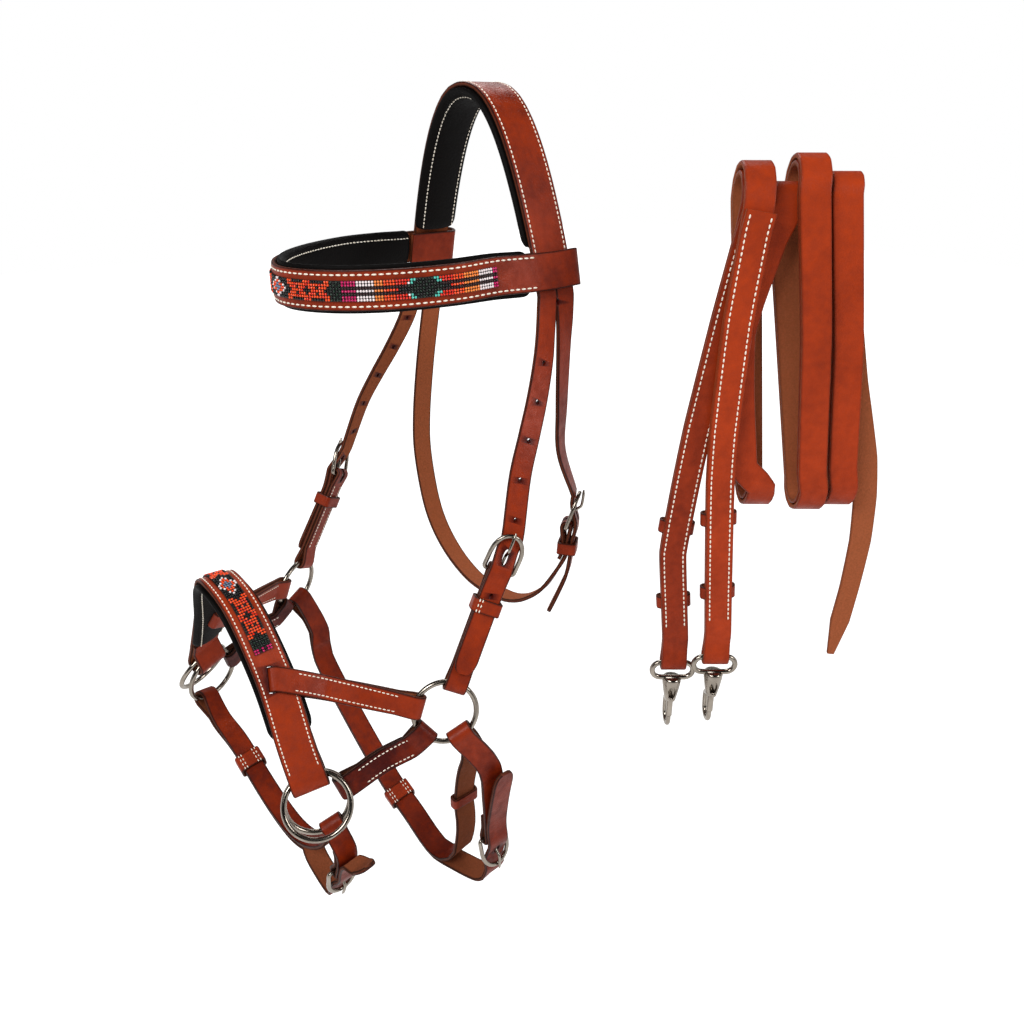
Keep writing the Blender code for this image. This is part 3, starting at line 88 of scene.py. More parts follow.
# Studio: a white sweep of paper and a white wall, under a dark ceiling and with a dark room behind
# the camera, as the metal's polish shows. Three soft boxes light it.
FLOOR_DROP = 0.95
FLOOR_HALF = 6
TOWARDS_ROOM = (0.78, -0.6, 0.15)
LAMP_AIM = Vector((0.05, -0.05, -0.3))


def hex_colour(text):
    """A colour written as sRGB hex, made linear."""
    parts = [int(text[i : i + 2], 16) / 255 for i in (0, 2, 4)]
    return tuple(c / 12.92 if c <= 0.04045 else ((c + 0.055) / 1.055) ** 2.4 for c in parts) + (1,)


def give(tree, node, inputs):
    """Gives a node its inputs: values, or other nodes' outputs."""
    for key, value in inputs.items():
        if isinstance(value, bpy.types.NodeSocket):
            tree.links.new(value, node.inputs[key])
        else:
            node.inputs[key].default_value = value


def add(tree, kind, inputs=None, **settings):
    """Adds a node with its settings and its inputs."""
    made = tree.nodes.new(kind)
    for name, value in settings.items():
        setattr(made, name, value)
    give(tree, made, inputs or {})
    return made


def spread(tree, value, low, high, start=0.0, end=1.0):
    """The value taken from one range to another, held at the ends."""
    inputs = {"Value": value, "From Min": start, "From Max": end, "To Min": low, "To Max": high}
    return add(tree, "ShaderNodeMapRange", inputs).outputs["Result"]


def reckon(tree, operation, first, second, **settings):
    """Two numbers put together."""
    return add(tree, "ShaderNodeMath", {0: first, 1: second}, operation=operation, **settings).outputs[0]


def mix(tree, factor, first, second, kind="RGBA"):
    """A mix of two colours, or of two numbers."""
    start, out = (6, 2) if kind == "RGBA" else (2, 0)
    inputs = {"Factor": factor, start: first, start + 1: second}
    return add(tree, "ShaderNodeMix", inputs, data_type=kind).outputs[out]


world = bpy.data.worlds.new("studio")
world.use_nodes = True
scene.world = world
tree = world.node_tree
tree.nodes.clear()
way = add(tree, "ShaderNodeTexCoord").outputs["Generated"]
height = add(tree, "ShaderNodeSeparateXYZ", {"Vector": way}).outputs["Z"]
ceiling = spread(tree, height, 0.8, 0.04, 0.12, 0.3)
to_room = add(tree, "ShaderNodeVectorMath", {0: way, 1: TOWARDS_ROOM}, operation="DOT_PRODUCT")
room = spread(tree, to_room.outputs["Value"], 1.0, 0.08, 0.3, 0.6)
seen = add(tree, "ShaderNodeLightPath").outputs
in_metal = reckon(tree, "MAXIMUM", seen["Is Glossy Ray"], seen["Is Transmission Ray"])
lit = mix(tree, seen["Is Camera Ray"], 0.5, 1.0, "FLOAT")
wall = mix(tree, in_metal, lit, reckon(tree, "MULTIPLY", ceiling, room), "FLOAT")
backdrop = add(tree, "ShaderNodeBackground", {"Color": hex_colour("FFFFFF"), "Strength": wall})
add(tree, "ShaderNodeOutputWorld", {"Surface": backdrop.outputs["Background"]})

# White backdrop paper, brighter away from the middle, so that it meets the wall without a line
paper = bpy.data.materials.new("white backdrop paper")
paper.use_nodes = True
tree = paper.node_tree
tree.nodes.clear()
seen = add(tree, "ShaderNodeLightPath").outputs
dimmed = reckon(tree, "MULTIPLY", seen["Is Glossy Ray"], 0.3)
straight = reckon(tree, "MAXIMUM", seen["Is Camera Ray"], dimmed)
either = reckon(tree, "MAXIMUM", straight, seen["Is Transmission Ray"])
place = add(tree, "ShaderNodeTexCoord").outputs["Object"]
from_middle = add(tree, "ShaderNodeVectorMath", {0: place}, operation="LENGTH").outputs["Value"]
lift = reckon(tree, "MULTIPLY", either, spread(tree, from_middle, 0.5, 1.0, 1.2, 3.5))
fibre = add(tree, "ShaderNodeTexNoise", {"Scale": 60.0, "Detail": 3.0}).outputs["Fac"]
matte = add(tree, "ShaderNodeBsdfDiffuse", {"Color": spread(tree, fibre, 0.8, 0.86)})
glow = add(tree, "ShaderNodeEmission", {"Color": hex_colour("FFFFFF"), "Strength": lift})
both = add(tree, "ShaderNodeAddShader", {0: matte.outputs["BSDF"], 1: glow.outputs["Emission"]})
add(tree, "ShaderNodeOutputMaterial", {"Surface": both.outputs["Shader"]})

floor_mesh = bpy.data.meshes.new("floor")
signs = ((-1, -1), (1, -1), (1, 1), (-1, 1))
floor_mesh.from_pydata([(FLOOR_HALF * x, FLOOR_HALF * y, -FLOOR_DROP) for x, y in signs], [], [(0, 1, 2, 3)])
floor_mesh.materials.append(paper)
placed("floor", floor_mesh)

for label, place, size, power in (
    ("key box", (0.6, -1.5, 1.0), 0.8, 24),
    ("side box", (1.7, 0.6, 0.6), 0.7, 13),
    ("back box", (-1.1, 0.9, 1.2), 0.9, 11),
):
    lamp = bpy.data.lights.new(label, "AREA")
    lamp.size = size
    lamp.energy = power
    turn = (LAMP_AIM - Vector(place)).to_track_quat("-Z", "Y").to_matrix().to_4x4()
    placed(label, lamp).matrix_world = Matrix.Translation(place) @ turn


# Rings: six welded rings of nickel-plated steel wire, one at each cheek and two at each end of the
# noseband. The straps are folded round them.
RING_RADIUS = 22.5 * MM
RING_WIRE = 4.0 * MM
PLY_GAP = 0.4 * MM
CLEAR = 0.5 * MM
LEATHER = 3.0 * MM
# The play between two wires in one fold, and how far from a wire the two plies meet
WIRE_PLAY = 1.8 * MM
FOLD_LEAD = 11 * MM
SHARP = radians(42)


def material(name):
    """A new material, its nodes, and places on its object."""
    made = bpy.data.materials.new(name)
    made.use_nodes = True
    return made, made.node_tree, add(made.node_tree, "ShaderNodeTexCoord").outputs["Object"]


def noise(tree, place, scale, detail, **more):
    """A cloudy pattern."""
    inputs = {"Vector": place, "Scale": scale, "Detail": detail, **more}
    return add(tree, "ShaderNodeTexNoise", inputs).outputs["Fac"]


def bump(tree, height, strength, distance):
    """A relief too fine for the mesh."""
    inputs = {"Height": height, "Strength": strength, "Distance": distance}
    return add(tree, "ShaderNodeBump", inputs).outputs["Normal"]


def dress(made, inputs):
    """Gives a material's shader its inputs."""
    give(made.node_tree, made.node_tree.nodes["Principled BSDF"], inputs)
    return made


def plated(name, bright, dull):
    """Nickel plate: polished on a tumbled steel core, so soft grey with sharp lights, duller in patches."""
    made, tree, place = material(name)
    patches = noise(tree, place, 90.0, 4.0)
    looks = {
        "Base Color": mix(tree, patches, hex_colour(dull), hex_colour(bright)),
        "Roughness": spread(tree, patches, 0.28, 0.14, 0.3, 0.7),
        "Normal": bump(tree, noise(tree, place, 420.0, 2.0), 0.08, 0.0004),
        "Metallic": 1.0,
    }
    return dress(made, looks)


NICKEL = plated("polished nickel plate", "B9AFA3", "766D62")


def skinned(name, rings, closed, look, marks=None):
    """A mesh of quads between rings of points, its open ends capped."""
    n = len(rings[0])
    faces = []
    for k in range(len(rings) if closed else len(rings) - 1):
        a, b = k * n, (k + 1) % len(rings) * n
        faces += [(a + i, a + (i + 1) % n, b + (i + 1) % n, b + i) for i in range(n)]
    if not closed:
        faces.append(tuple(range(n - 1, -1, -1)))
        faces.append(tuple(range((len(rings) - 1) * n, len(rings) * n)))
    data = bpy.data.meshes.new(name)
    data.from_pydata([point for ring in rings for point in ring], [], faces)
    for mark, values in (marks or {}).items():
        data.attributes.new(mark, "FLOAT", "POINT").data.foreach_set("value", values)
    data.materials.append(look)
    data.shade_smooth()
    data.set_sharp_from_angle(angle=SHARP)
    return placed(name, data)


def wire(name, points, radii, closed=False, face=None, flat=1.0, sides=14, square=1.0, look=NICKEL):
    """A wire bent along the points; face is the way its flattened side looks."""
    n = len(points)
    up = None
    rings = []
    for i, point in enumerate(points):
        before = points[i - 1] if i or closed else point
        after = points[(i + 1) % n] if i < n - 1 or closed else point
        travel = (after - before).normalized()
        wanted = face or up or travel.orthogonal()
        up = (wanted - travel * wanted.dot(travel)).normalized()
        across = up.cross(travel)
        r = radii[i] if isinstance(radii, list) else radii
        ring = []
        for k in range(sides):
            c, s = cos(tau * k / sides), sin(tau * k / sides)
            c = copysign(abs(c) ** square, c)
            s = copysign(abs(s) ** square, s)
            ring.append(point + across * c * r + up * s * r * flat)
        rings.append(ring)
    return skinned(name, rings, closed, look)


def other_side(made, name):
    """The same piece for the horse's off side."""
    data = made.data.copy()
    data.transform(Matrix.Diagonal((-1, 1, 1, 1)))
    data.flip_normals()
    return placed(name, data)


def stands_for(made, node, slot="chestnut_leather"):
    """The piece takes a node's place on its body, and so does a near one's twin. The slot, the name of its
    finish, is not used.
    """
    if "_near" in node:
        twin = other_side(made, made.name.replace("_near", "_far"))
        stands_for(twin, node.replace("_near", "_far"), slot)
    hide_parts(node)
    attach(made, body_of[node])


HALF_TURN = [pi * k / 6 for k in range(7)]


def fold_round(centre, away, facing, radius, straight, reach):
    """A strap's turn round a bar, from the facing side to the back, and where its plies meet."""
    width = facing.cross(away)
    arc = [(centre + away * straight + facing * radius, width)]
    arc += [(centre + (facing * cos(a) - away * sin(a)) * radius, width) for a in HALF_TURN]
    arc.append((centre + away * straight - facing * radius, width))
    return {"arc": arc, "lead": (centre + away * reach, width)}


class Ring:
    """A ring's centre, the way its face looks, and directions in its plane."""

    def __init__(self, centre, facing):
        self.centre = centre
        self.facing = facing.normalized()
        self.back = Z.cross(self.facing).normalized()
        self.up = self.facing.cross(self.back)

    def outwards(self, degrees):
        """From the centre, at an angle from the back of the ring upwards."""
        a = radians(degrees)
        return self.back * cos(a) + self.up * sin(a)

    def fold(self, degrees, width, wires=1, swing=0):
        """How a strap goes round the ring's wire and leaves it, swung inwards about the wire."""
        straight_away = self.outwards(degrees)
        a = radians(swing)
        away = straight_away * cos(a) - self.facing * sin(a)
        facing = self.facing * cos(a) + straight_away * sin(a)
        sag = RING_RADIUS - sqrt(RING_RADIUS**2 - (width / 2) ** 2)
        core = (wires * RING_WIRE + (wires - 1) * (PLY_GAP + WIRE_PLAY)) / 2
        return fold_round(
            self.centre + straight_away * (RING_RADIUS - sag / 2) - away * sag * cos(a) / 2,
            away,
            facing,
            core + CLEAR + LEATHER / 2 + sag * sin(a) * 0.95,
            sag + 1 * MM,
            sag + RING_WIRE / 2 + FOLD_LEAD,
        )

    def piece(self, name):
        """The ring's wire, closed."""
        turns = [tau * k / 96 for k in range(96)]
        points = [self.centre + (self.back * cos(a) + self.up * sin(a)) * RING_RADIUS for a in turns]
        return wire(name, points, RING_WIRE / 2, closed=True, sides=20)


RING_LOW_FACING = Vector((0.747, -0.346, 0.504))
NOSE_SEAT = 104
INNER_RING_LEAN = -18
ring_up = Ring(Vector((120, -124, -398)) * MM, Vector((0.869, -0.455, 0.205)))
ring_low = Ring(Vector((105, -220, -441)) * MM, RING_LOW_FACING)
nose_away = ring_low.outwards(NOSE_SEAT)
stack = (RING_WIRE + PLY_GAP) / 2
rein_ring = Ring(ring_low.centre + ring_low.facing * stack, RING_LOW_FACING)
lean = Matrix.Rotation(radians(INNER_RING_LEAN), 3, ring_low.facing.cross(nose_away))
seat = ring_low.centre + nose_away * RING_RADIUS - ring_low.facing * stack
inner_ring = Ring(seat - (lean @ nose_away) * RING_RADIUS, lean @ ring_low.facing)
for label, ring in (("cheek_ring", ring_up), ("rein_ring", rein_ring), ("inner_ring", inner_ring)):
    stands_for(ring.piece(f"{label}_near_wire"), f"{label}_near", "nickel_plate")


# Buckles: a horseshoe frame with a flattened face on its bar, and a tongue curled round that bar.
# Both are cast or bent in steel and nickel plated; the cheeks, throat, jaw and chin have one each.
BUCKLE_WIRE = 3.2 * MM
BUCKLE_LENGTH = 28 * MM
FRAME_TILT = radians(15)
TONGUE_HOLE = 12 * MM
TONGUE_WIRE = 2.2 * MM
PLY = (LEATHER + PLY_GAP) / 2


def finer(stations, closed=False, step=3 * MM):
    """The stations with evenly spaced ones between them, on one smooth curve."""
    made = []
    n = len(stations)
    for i in range(n if closed else n - 1):
        b, c = stations[i], stations[(i + 1) % n]
        a = stations[i - 1] if i or closed else b
        d = stations[(i + 2) % n] if i < n - 2 or closed else c
        apart = (c[0] - b[0]).length
        count = max(1, round(apart / step))
        start = ((c[0] - a[0]).normalized() + (c[0] - b[0]).normalized()) * apart / 2
        end = ((d[0] - b[0]).normalized() + (c[0] - b[0]).normalized()) * apart / 2
        for k in range(count):
            t = k / count
            u = 1 - t
            place = b[0] * (u**2 * (1 + 2 * t)) + c[0] * (t**2 * (1 + 2 * u))
            made.append((place + start * (t * u**2) - end * (t**2 * u), b[1].lerp(c[1], t)))
    return made if closed else made + [stations[-1]]


def eased(points, closed=False, step=1 * MM):
    """A wire's points with smooth ones between them."""
    return [place for place, _ in finer([(point, Z) for point in points], closed, step)]


class Buckle:
    """Where a buckle's bar lies, the way its frame points, and its face."""

    def __init__(self, bar, along, width_hint, strap_width):
        self.bar = bar
        self.along = along.normalized()
        self.across = (width_hint - self.along * width_hint.dot(self.along)).normalized()
        self.facing = self.along.cross(self.across)
        self.strap_width = strap_width
        self.frame_along = self.along * cos(FRAME_TILT) + self.facing * sin(FRAME_TILT)
        self.end_height = BUCKLE_LENGTH * sin(FRAME_TILT)

    def at(self, along, height, sideways=0):
        """A place given along the strap, above the bar and across it."""
        return self.bar + self.along * along + self.facing * height + self.across * sideways

    def frame(self, name):
        """The buckle's frame, its bar at the heel."""
        half = self.strap_width / 2 + 3 * MM
        bend = 0.55
        legs = BUCKLE_LENGTH * (1 - bend)
        points = [self.bar + self.across * half * s for s in (-0.9, -0.3, 0.3, 0.9)]
        points += [self.bar + self.across * half + self.frame_along * legs * s for s in (0.12, 0.6)]
        for k in range(11):
            a = pi * k / 10
            reach = legs + sin(a) * BUCKLE_LENGTH * bend
            points.append(self.bar + self.across * cos(a) * half + self.frame_along * reach)
        points += [self.bar - self.across * half + self.frame_along * legs * s for s in (0.6, 0.12)]
        face = self.across.cross(self.frame_along) * -1
        line = eased(points, True)
        return wire(name, line, BUCKLE_WIRE / 2, closed=True, face=face, flat=0.9, sides=18, square=0.78)

    def tongue(self, name):
        """The tongue: curled round the bar, up through the strap's hole and onto the frame's end."""
        core = TONGUE_WIRE / 2
        curl = BUCKLE_WIRE / 2 + PLY_GAP + core
        rest = self.end_height + BUCKLE_WIRE / 2 + PLY_GAP + core
        turns = [radians(d) for d in range(330, 69, -26)]
        places = [(curl * cos(a), curl * sin(a)) for a in turns]
        places += [
            (TONGUE_HOLE - 5.4 * MM, curl),
            (TONGUE_HOLE + 0.3 * MM, self.end_height * 0.62),
            (TONGUE_HOLE + 4.5 * MM, rest - 0.9 * MM),
            (BUCKLE_LENGTH * 0.82, rest),
            (BUCKLE_LENGTH + 2 * MM, rest),
        ]
        line = eased([self.at(*place) for place in places])
        radii = [core * min(1, 0.5 + 0.17 * (len(line) - 1 - i)) for i in range(len(line))]
        return wire(name, line, radii, sides=12)

    def fold(self):
        """The chape's turn round the bar."""
        radius = BUCKLE_WIRE / 2 + PLY_GAP + LEATHER / 2
        return fold_round(self.bar, -self.along, self.facing, radius, 0.5 * MM, 12 * MM)

    def billet(self):
        """The strap through the buckle: under the frame's end, over the bar, along the chape."""
        under = self.end_height * 0.82 - BUCKLE_WIRE / 2 - CLEAR - LEATHER / 2
        over = BUCKLE_WIRE / 2 + PLY_GAP + LEATHER + CLEAR + LEATHER / 2
        flat = PLY + LEATHER + CLEAR
        places = (
            (BUCKLE_LENGTH + 9 * MM, under + 0.2 * MM),
            (BUCKLE_LENGTH, under + 0.1 * MM),
            (BUCKLE_LENGTH * 0.8, under),
            (BUCKLE_LENGTH * 0.5, under + 1.5 * MM),
            (3 * MM, over + 0.3 * MM),
            (-3 * MM, over),
            (-10 * MM, flat + 0.3 * MM),
            (-22 * MM, flat),
        )
        return [(self.at(*place), -self.across) for place in places]

    def hole(self):
        """The long hole that the tongue stands in."""
        place = self.at(TONGUE_HOLE - 1 * MM, self.end_height * 0.6)
        return (place, self.facing, 2.1 * MM, (self.along, 2.9), 12 * MM)

    def slot(self):
        """The slot that lets the tongue through the chape's turn."""
        return (self.at(-0.5 * MM, 0), self.facing, 1.8 * MM, (self.along, 3.6), 10.6 * MM)


CROWN_WIDTH = 32 * MM
JAW_WIDTH = 18 * MM
CHIN_WIDTH = 16 * MM
CHEEK_SEAT = 66.5
CHAPE_REACH = 108
chape_width = CROWN_WIDTH / 2
cheek_bar = ring_up.centre + ring_up.outwards(CHEEK_SEAT) * CHAPE_REACH * MM - ring_up.facing * 5 * MM
cheek_along = cheek_bar - ring_up.centre
cheek_buckle = Buckle(cheek_bar, cheek_along, ring_up.facing.cross(cheek_along), chape_width)
throat_facing = Vector((0.75, 0.66, 0)).normalized()
throat_along = Vector((-0.02, 0.1, 0.99))
throat_bar = Vector((82, 21, -306)) * MM
throat_buckle = Buckle(throat_bar, throat_along, throat_facing.cross(throat_along), chape_width)
jaw_bar = Vector((129, -90, -524)) * MM
jaw_buckle = Buckle(jaw_bar, Vector((-0.12, 0.06, -0.99)), Vector((0, 0.97, 0.1)), JAW_WIDTH)
chin_bar = Vector((107, -207, -503)) * MM
chin_buckle = Buckle(chin_bar, Vector((-0.5, 0, -0.86)), Vector((0, 1, 0.1)), CHIN_WIDTH)
for label, buckle, side in (
    ("throat", throat_buckle, ""),
    ("jaw", jaw_buckle, ""),
    ("chin", chin_buckle, ""),
    ("cheek", cheek_buckle, "_near"),
):
    node = f"{label}_buckle{side}"
    stands_for(buckle.frame(f"{node}_frame"), node, "nickel_plate")
    node = f"{label}_tongue{side}"
    stands_for(buckle.tongue(f"{node}_wire"), node, "nickel_plate")


# Cheek chapes: bridle leather, cut from the butt of a cowhide, dyed chestnut and filled with wax.
# Each goes round its ring and its buckle's bar, and its two plies are stitched together between.
def bridle_leather(name, light, dark, edge_ink, raw, suede):
    """Waxed chestnut bridle leather: close grain with a soft shine, inked edges, a rough flesh side.

    Each strap's shade attribute, from 0 to 1, is partly how light its dye took and partly painted shade: it
    is set low on straps that face down, away from the lamps.
    """
    made, tree, place = material(name)
    # The dye takes unevenly over 40 mm or so, and the wax moves in flecks of about 6 mm
    cloud = spread(tree, noise(tree, place, 22.0, 4.0, Roughness=0.55), -0.17, 0.17, 0.3, 0.7)
    wax = noise(tree, place, 170.0, 4.0)
    moved = spread(tree, wax, -0.09, 0.09, 0.3, 0.7)
    shade, flesh, raw_part, edge_part = [
        add(tree, "ShaderNodeAttribute", attribute_name=mark).outputs["Fac"]
        for mark in ("shade", "flesh", "raw", "edge")
    ]
    took = reckon(tree, "ADD", shade, reckon(tree, "ADD", cloud, moved), use_clamp=True)
    grain_colour = mix(tree, took, hex_colour(dark), hex_colour(light))
    nap = noise(tree, place, 700.0, 4.0)
    flesh_colour = mix(tree, nap, hex_colour(raw), hex_colour(suede))
    # The flesh side darkens with the shade attribute: partly its dye, partly painted shade on the straps'
    # inner sides
    flesh_dye_and_painted_shade = spread(tree, shade, 0.1, 1.9)
    back = add(tree, "ShaderNodeVectorMath", {0: flesh_colour, "Scale": flesh_dye_and_painted_shade}, operation="SCALE")
    side = mix(tree, flesh, grain_colour, back.outputs[0])
    inked = mix(tree, edge_part, side, hex_colour(edge_ink))
    whole = mix(tree, reckon(tree, "MULTIPLY", raw_part, wax), inked, hex_colour(raw))
    rough = mix(tree, flesh, 0.4, 0.85, "FLOAT")
    # Grain cells of a millimetre, coarser than the real half millimetre so that they show
    cells = add(tree, "ShaderNodeTexVoronoi", {"Vector": place, "Scale": 950.0}).outputs["Distance"]
    looks = {
        "Base Color": whole,
        "Roughness": reckon(tree, "SUBTRACT", rough, moved),
        "Normal": bump(tree, reckon(tree, "ADD", cells, nap), 0.22, 0.0005),
        "Specular IOR Level": 0.16,
    }
    return dress(made, looks)


CHESTNUT = bridle_leather("waxed chestnut bridle leather", "AE3A12", "3F0803", "120403", "7E4526", "A85836")


OFF_SIDE = Vector((-1, 1, 1))


def distances(stations):
    """Each station's distance from the start, along the route."""
    made = [0]
    for a, b in zip(stations, stations[1:]):
        made.append(made[-1] + (b[0] - a[0]).length)
    return made


def length(stations):
    """Length of a route."""
    return distances(stations)[-1]


def portion(stations, start, end, count):
    """Evenly spaced stations on the stretch between two distances from the route's start."""
    made = []
    travelled = 0
    pairs = list(zip(stations, stations[1:]))
    k = 0
    for i in range(count):
        wanted = start + (end - start) * i / (count - 1)
        step = (pairs[k][1][0] - pairs[k][0][0]).length
        while travelled + step < wanted and k < len(pairs) - 1:
            travelled += step
            k += 1
            step = (pairs[k][1][0] - pairs[k][0][0]).length
        t = min(1, max(0, (wanted - travelled) / step))
        a, b = pairs[k]
        made.append((a[0].lerp(b[0], t), a[1].lerp(b[1], t)))
    return made


def smooth(knots, count):
    """Evenly spaced stations on the Catmull-Rom curve through the knots."""
    fine = []
    ends = [knots[0]] + list(knots) + [knots[-1]]
    for i in range(1, len(ends) - 2):
        for k in range(14):
            t = k / 14
            blend = (
                (-t + 2 * t**2 - t**3) / 2,
                (2 - 5 * t**2 + 3 * t**3) / 2,
                (t + 4 * t**2 - 3 * t**3) / 2,
                (-(t**2) + t**3) / 2,
            )
            four = ends[i - 1 : i + 3]
            place = sum((f[0] * b for f, b in zip(four, blend)), Vector())
            width = sum((f[1] * b for f, b in zip(four, blend)), Vector())
            fine.append((place, width))
    fine.append(knots[-1])
    return portion(fine, 0, length(fine), count)


def frames(stations, closed=False):
    """(place, width, normal) at each station. The normal is travel x width."""
    made = []
    n = len(stations)
    for i, (place, width) in enumerate(stations):
        before = stations[i - 1][0] if i or closed else place
        after = stations[(i + 1) % n][0] if i < n - 1 or closed else place
        travel = (after - before).normalized()
        across = (width - travel * width.dot(travel)).normalized()
        made.append((place, across, travel.cross(across)))
    return made


def offset(stations, height):
    """The same route moved along its normals."""
    return [(p + n * height, station[1]) for (p, _, n), station in zip(frames(stations), stations)]


def backwards(stations):
    """The route from its other end, its widths as they were."""
    return list(reversed(stations))


def turned(stations):
    """The same route with its widths the other way."""
    return [(p, -w) for p, w in stations]


def mirrored(stations):
    """The route on the horse's other side."""
    return [(p * OFF_SIDE, w * OFF_SIDE) for p, w in stations]


def clean(stations):
    """The stations without any that nearly coincide."""
    kept = [stations[0]]
    for station in stations[1:]:
        if (station[0] - kept[-1][0]).length > 0.6 * MM:
            kept.append(station)
    return kept


def squared(fold, lead, beyond):
    """The lead station with its width square to the strap, half way between fold and strap in direction."""
    root = (fold["arc"][0][0] + fold["arc"][-1][0]) / 2
    travel = ((lead[0] - root).normalized() + (beyond[0] - lead[0]).normalized()).normalized()
    return (lead[0], (lead[1] - travel * lead[1].dot(travel)).normalized())


def folded_strap(first, second, on_the_way, count):
    """A closed strap round two folds, and the line midway between its plies."""
    last = (second["lead"][0], -second["lead"][1])
    centre = smooth([first["lead"]] + on_the_way + [last], count)
    centre[0] = squared(first, centre[0], centre[1])
    centre[-1] = squared(second, centre[-1], centre[-2])
    outer = offset(centre, PLY)
    inner = offset(centre, -PLY)
    return clean(backwards(outer) + first["arc"] + inner + turned(backwards(second["arc"]))), centre


CORNERS = ((1, 1, 0), (-1, 1, 90), (-1, -1, 180), (1, -1, 270))


def strap(name, stations, width, grain, closed=False, scales=None, thickness=LEATHER, shade=0.5, ink=0.95):
    """A strap with rounded edges, marked where its edges, raw core and flesh side are, and with its shade
    value, partly dye and partly painted shade.
    """
    half, thick, curve = width / 2, thickness / 2, min(0.7 * MM, thickness * 0.3)
    section = [(half, 0, 0.6, 1.0, 0)]
    for sx, sy, start in CORNERS:
        corner = []
        for turn in (0, 45, 90):
            a = radians(start + turn)
            x = sx * (half - curve) + curve * cos(a)
            y = sy * (thick - curve) + curve * sin(a)
            on_face = abs(sin(a))
            corner.append((x, y, 1.0 if turn == 45 else 0.9 - 0.25 * on_face, 0.3 * (1 - on_face), sy))
        inner = [(sx * (half - 1.5 * MM), sy * thick, 0, 0, sy)]
        section += corner + inner if sx == sy else inner + corner
        if sx == -1 and sy == 1:
            section.append((-half, 0, 0.6, 1.0, 0))
    rings = []
    marks = {"edge": [], "raw": [], "flesh": []}
    for i, (place, across, out) in enumerate(frames(stations, closed)):
        s = scales[i] if scales else 1
        up = grain[i] if isinstance(grain, list) else grain
        rings.append([place + across * a * s + out * b for a, b, _, _, _ in section])
        marks["edge"] += [edge * ink for _, _, edge, _, _ in section]
        marks["raw"] += [raw * (1.2 - ink) for _, _, _, raw, _ in section]
        marks["flesh"] += [0.5 - 0.5 * sy * up for _, _, _, _, sy in section]
    marks["shade"] = [shade] * len(marks["edge"])
    return skinned(name, rings, closed, CHESTNUT, marks)


def baked(made):
    """The piece with its modifiers applied to its mesh."""
    data = bpy.data.meshes.new_from_object(made.evaluated_get(bpy.context.evaluated_depsgraph_get()))
    made.modifiers.clear()
    made.data = data
    return made


# How dark the edges of a punched hole and of a cut slit are inked
HOLE_INK = 0.4
SLIT_INK = 1.0


def cut_out(pieces, mesh, ink):
    """Cuts a shape out of the pieces, and inks the cut's edges."""
    data = bpy.data.meshes.new("cutter")
    mesh.to_mesh(data)
    mesh.free()
    data.attributes.new("edge", "FLOAT", "POINT").data.foreach_set("value", [ink] * len(data.vertices))
    tool = placed("cutter", data)
    for made in pieces:
        cut = made.modifiers.new("cut", "BOOLEAN")
        cut.operation = "DIFFERENCE"
        cut.solver = "EXACT"
        cut.object = tool
        baked(made)
    bpy.data.objects.remove(tool, do_unlink=True)


def punch(made, holes):
    """Punches holes: place, direction, radius, the way and factor of a long one, and depth."""
    mesh = bmesh.new()
    for place, out, radius, stretch, depth in holes:
        turn = out.to_track_quat("Z", "Y").to_matrix().to_4x4()
        plug = bmesh.ops.create_cone(
            mesh, cap_ends=True, segments=24, radius1=radius, radius2=radius, depth=depth, matrix=turn
        )
        for vert in plug["verts"]:
            if stretch:
                vert.co += stretch[0] * vert.co.dot(stretch[0]) * (stretch[1] - 1)
            vert.co += place
    cut_out([made], mesh, HOLE_INK)
    made.data.set_sharp_from_angle(angle=SHARP)


FINE_PITCH = 3.0 * MM
ROW_STEP = 1.5 * MM
SEAM = 2.8 * MM
THREAD_RISE = 0.12 * MM
ON_TOP = LEATHER / 2 + THREAD_RISE
ON_PLIES = PLY + LEATHER / 2 + THREAD_RISE
stitch_rows = {}


def sew(body, stations, across, rise, start, end, both=True, pitch=FINE_PITCH):
    """Notes a row of stitches along a strap, its distance from the middle and its height, on both sides."""
    count = max(3, round((end - start) / ROW_STEP))
    row = [p + w * across + n * rise for p, w, n in frames(portion(stations, start, end, count))]
    rows = stitch_rows.setdefault((body, pitch), [])
    rows.append(row)
    if both:
        rows.append([point * OFF_SIDE for point in row])


def sew_edges(body, stations, width, rise, start, end=None, pitch=FINE_PITCH):
    """A row of stitches along each edge. It stops as far from the end as it starts, unless that is given."""
    end = end or length(stations) - start
    for sign in (1, -1):
        sew(body, stations, sign * (width / 2 - SEAM), rise, start, end, False, pitch)


def sew_plies(body, width, front, back, inset, end_inset):
    """Rows along both edges of a strap of two plies, on its front and on its back."""
    for sign in (1, -1):
        for face, line in ((1, front), (-1, back)):
            across = sign * (width / 2 - SEAM)
            sew(body, line, across, face * ON_PLIES, inset, length(line) - end_inset)


cheek_loop, chape_middle = folded_strap(ring_up.fold(CHEEK_SEAT, chape_width), cheek_buckle.fold(), [], 8)
chape = strap("cheek_chape_near_leather", finer(cheek_loop, True), chape_width, -1, closed=True)
punch(chape, [cheek_buckle.slot()])
stands_for(chape, "cheek_chape_near")
sew_plies("headpiece", chape_width, chape_middle, chape_middle, 3 * MM, 0)


# Crown piece: one strap of bridle leather over the poll, split on each side. The front branches are
# the cheek billets, the near rear one is the throat billet, and the far one runs on as the throatlatch.
CROWN_PAD = 8 * MM
CROWN_HALF = 78 * MM
CROWN_RISE = 118 * MM
CROWN_SHAPE = 2.3
CROWN_PITCH = 3.3 * MM
CROWN_ROW_START = 32 * MM
SPLIT_RISE = 7 * MM
BILLET_REACH = 76 * MM
HOLE_PITCH = 28 * MM
HOLE_RADIUS = 1.35 * MM
HOLE_DEPTH = 12 * MM
HOLE_SLANT = 0.95
INTO_CROWN = 9
crown_mid = CROWN_PAD + PLY_GAP + LEATHER / 2


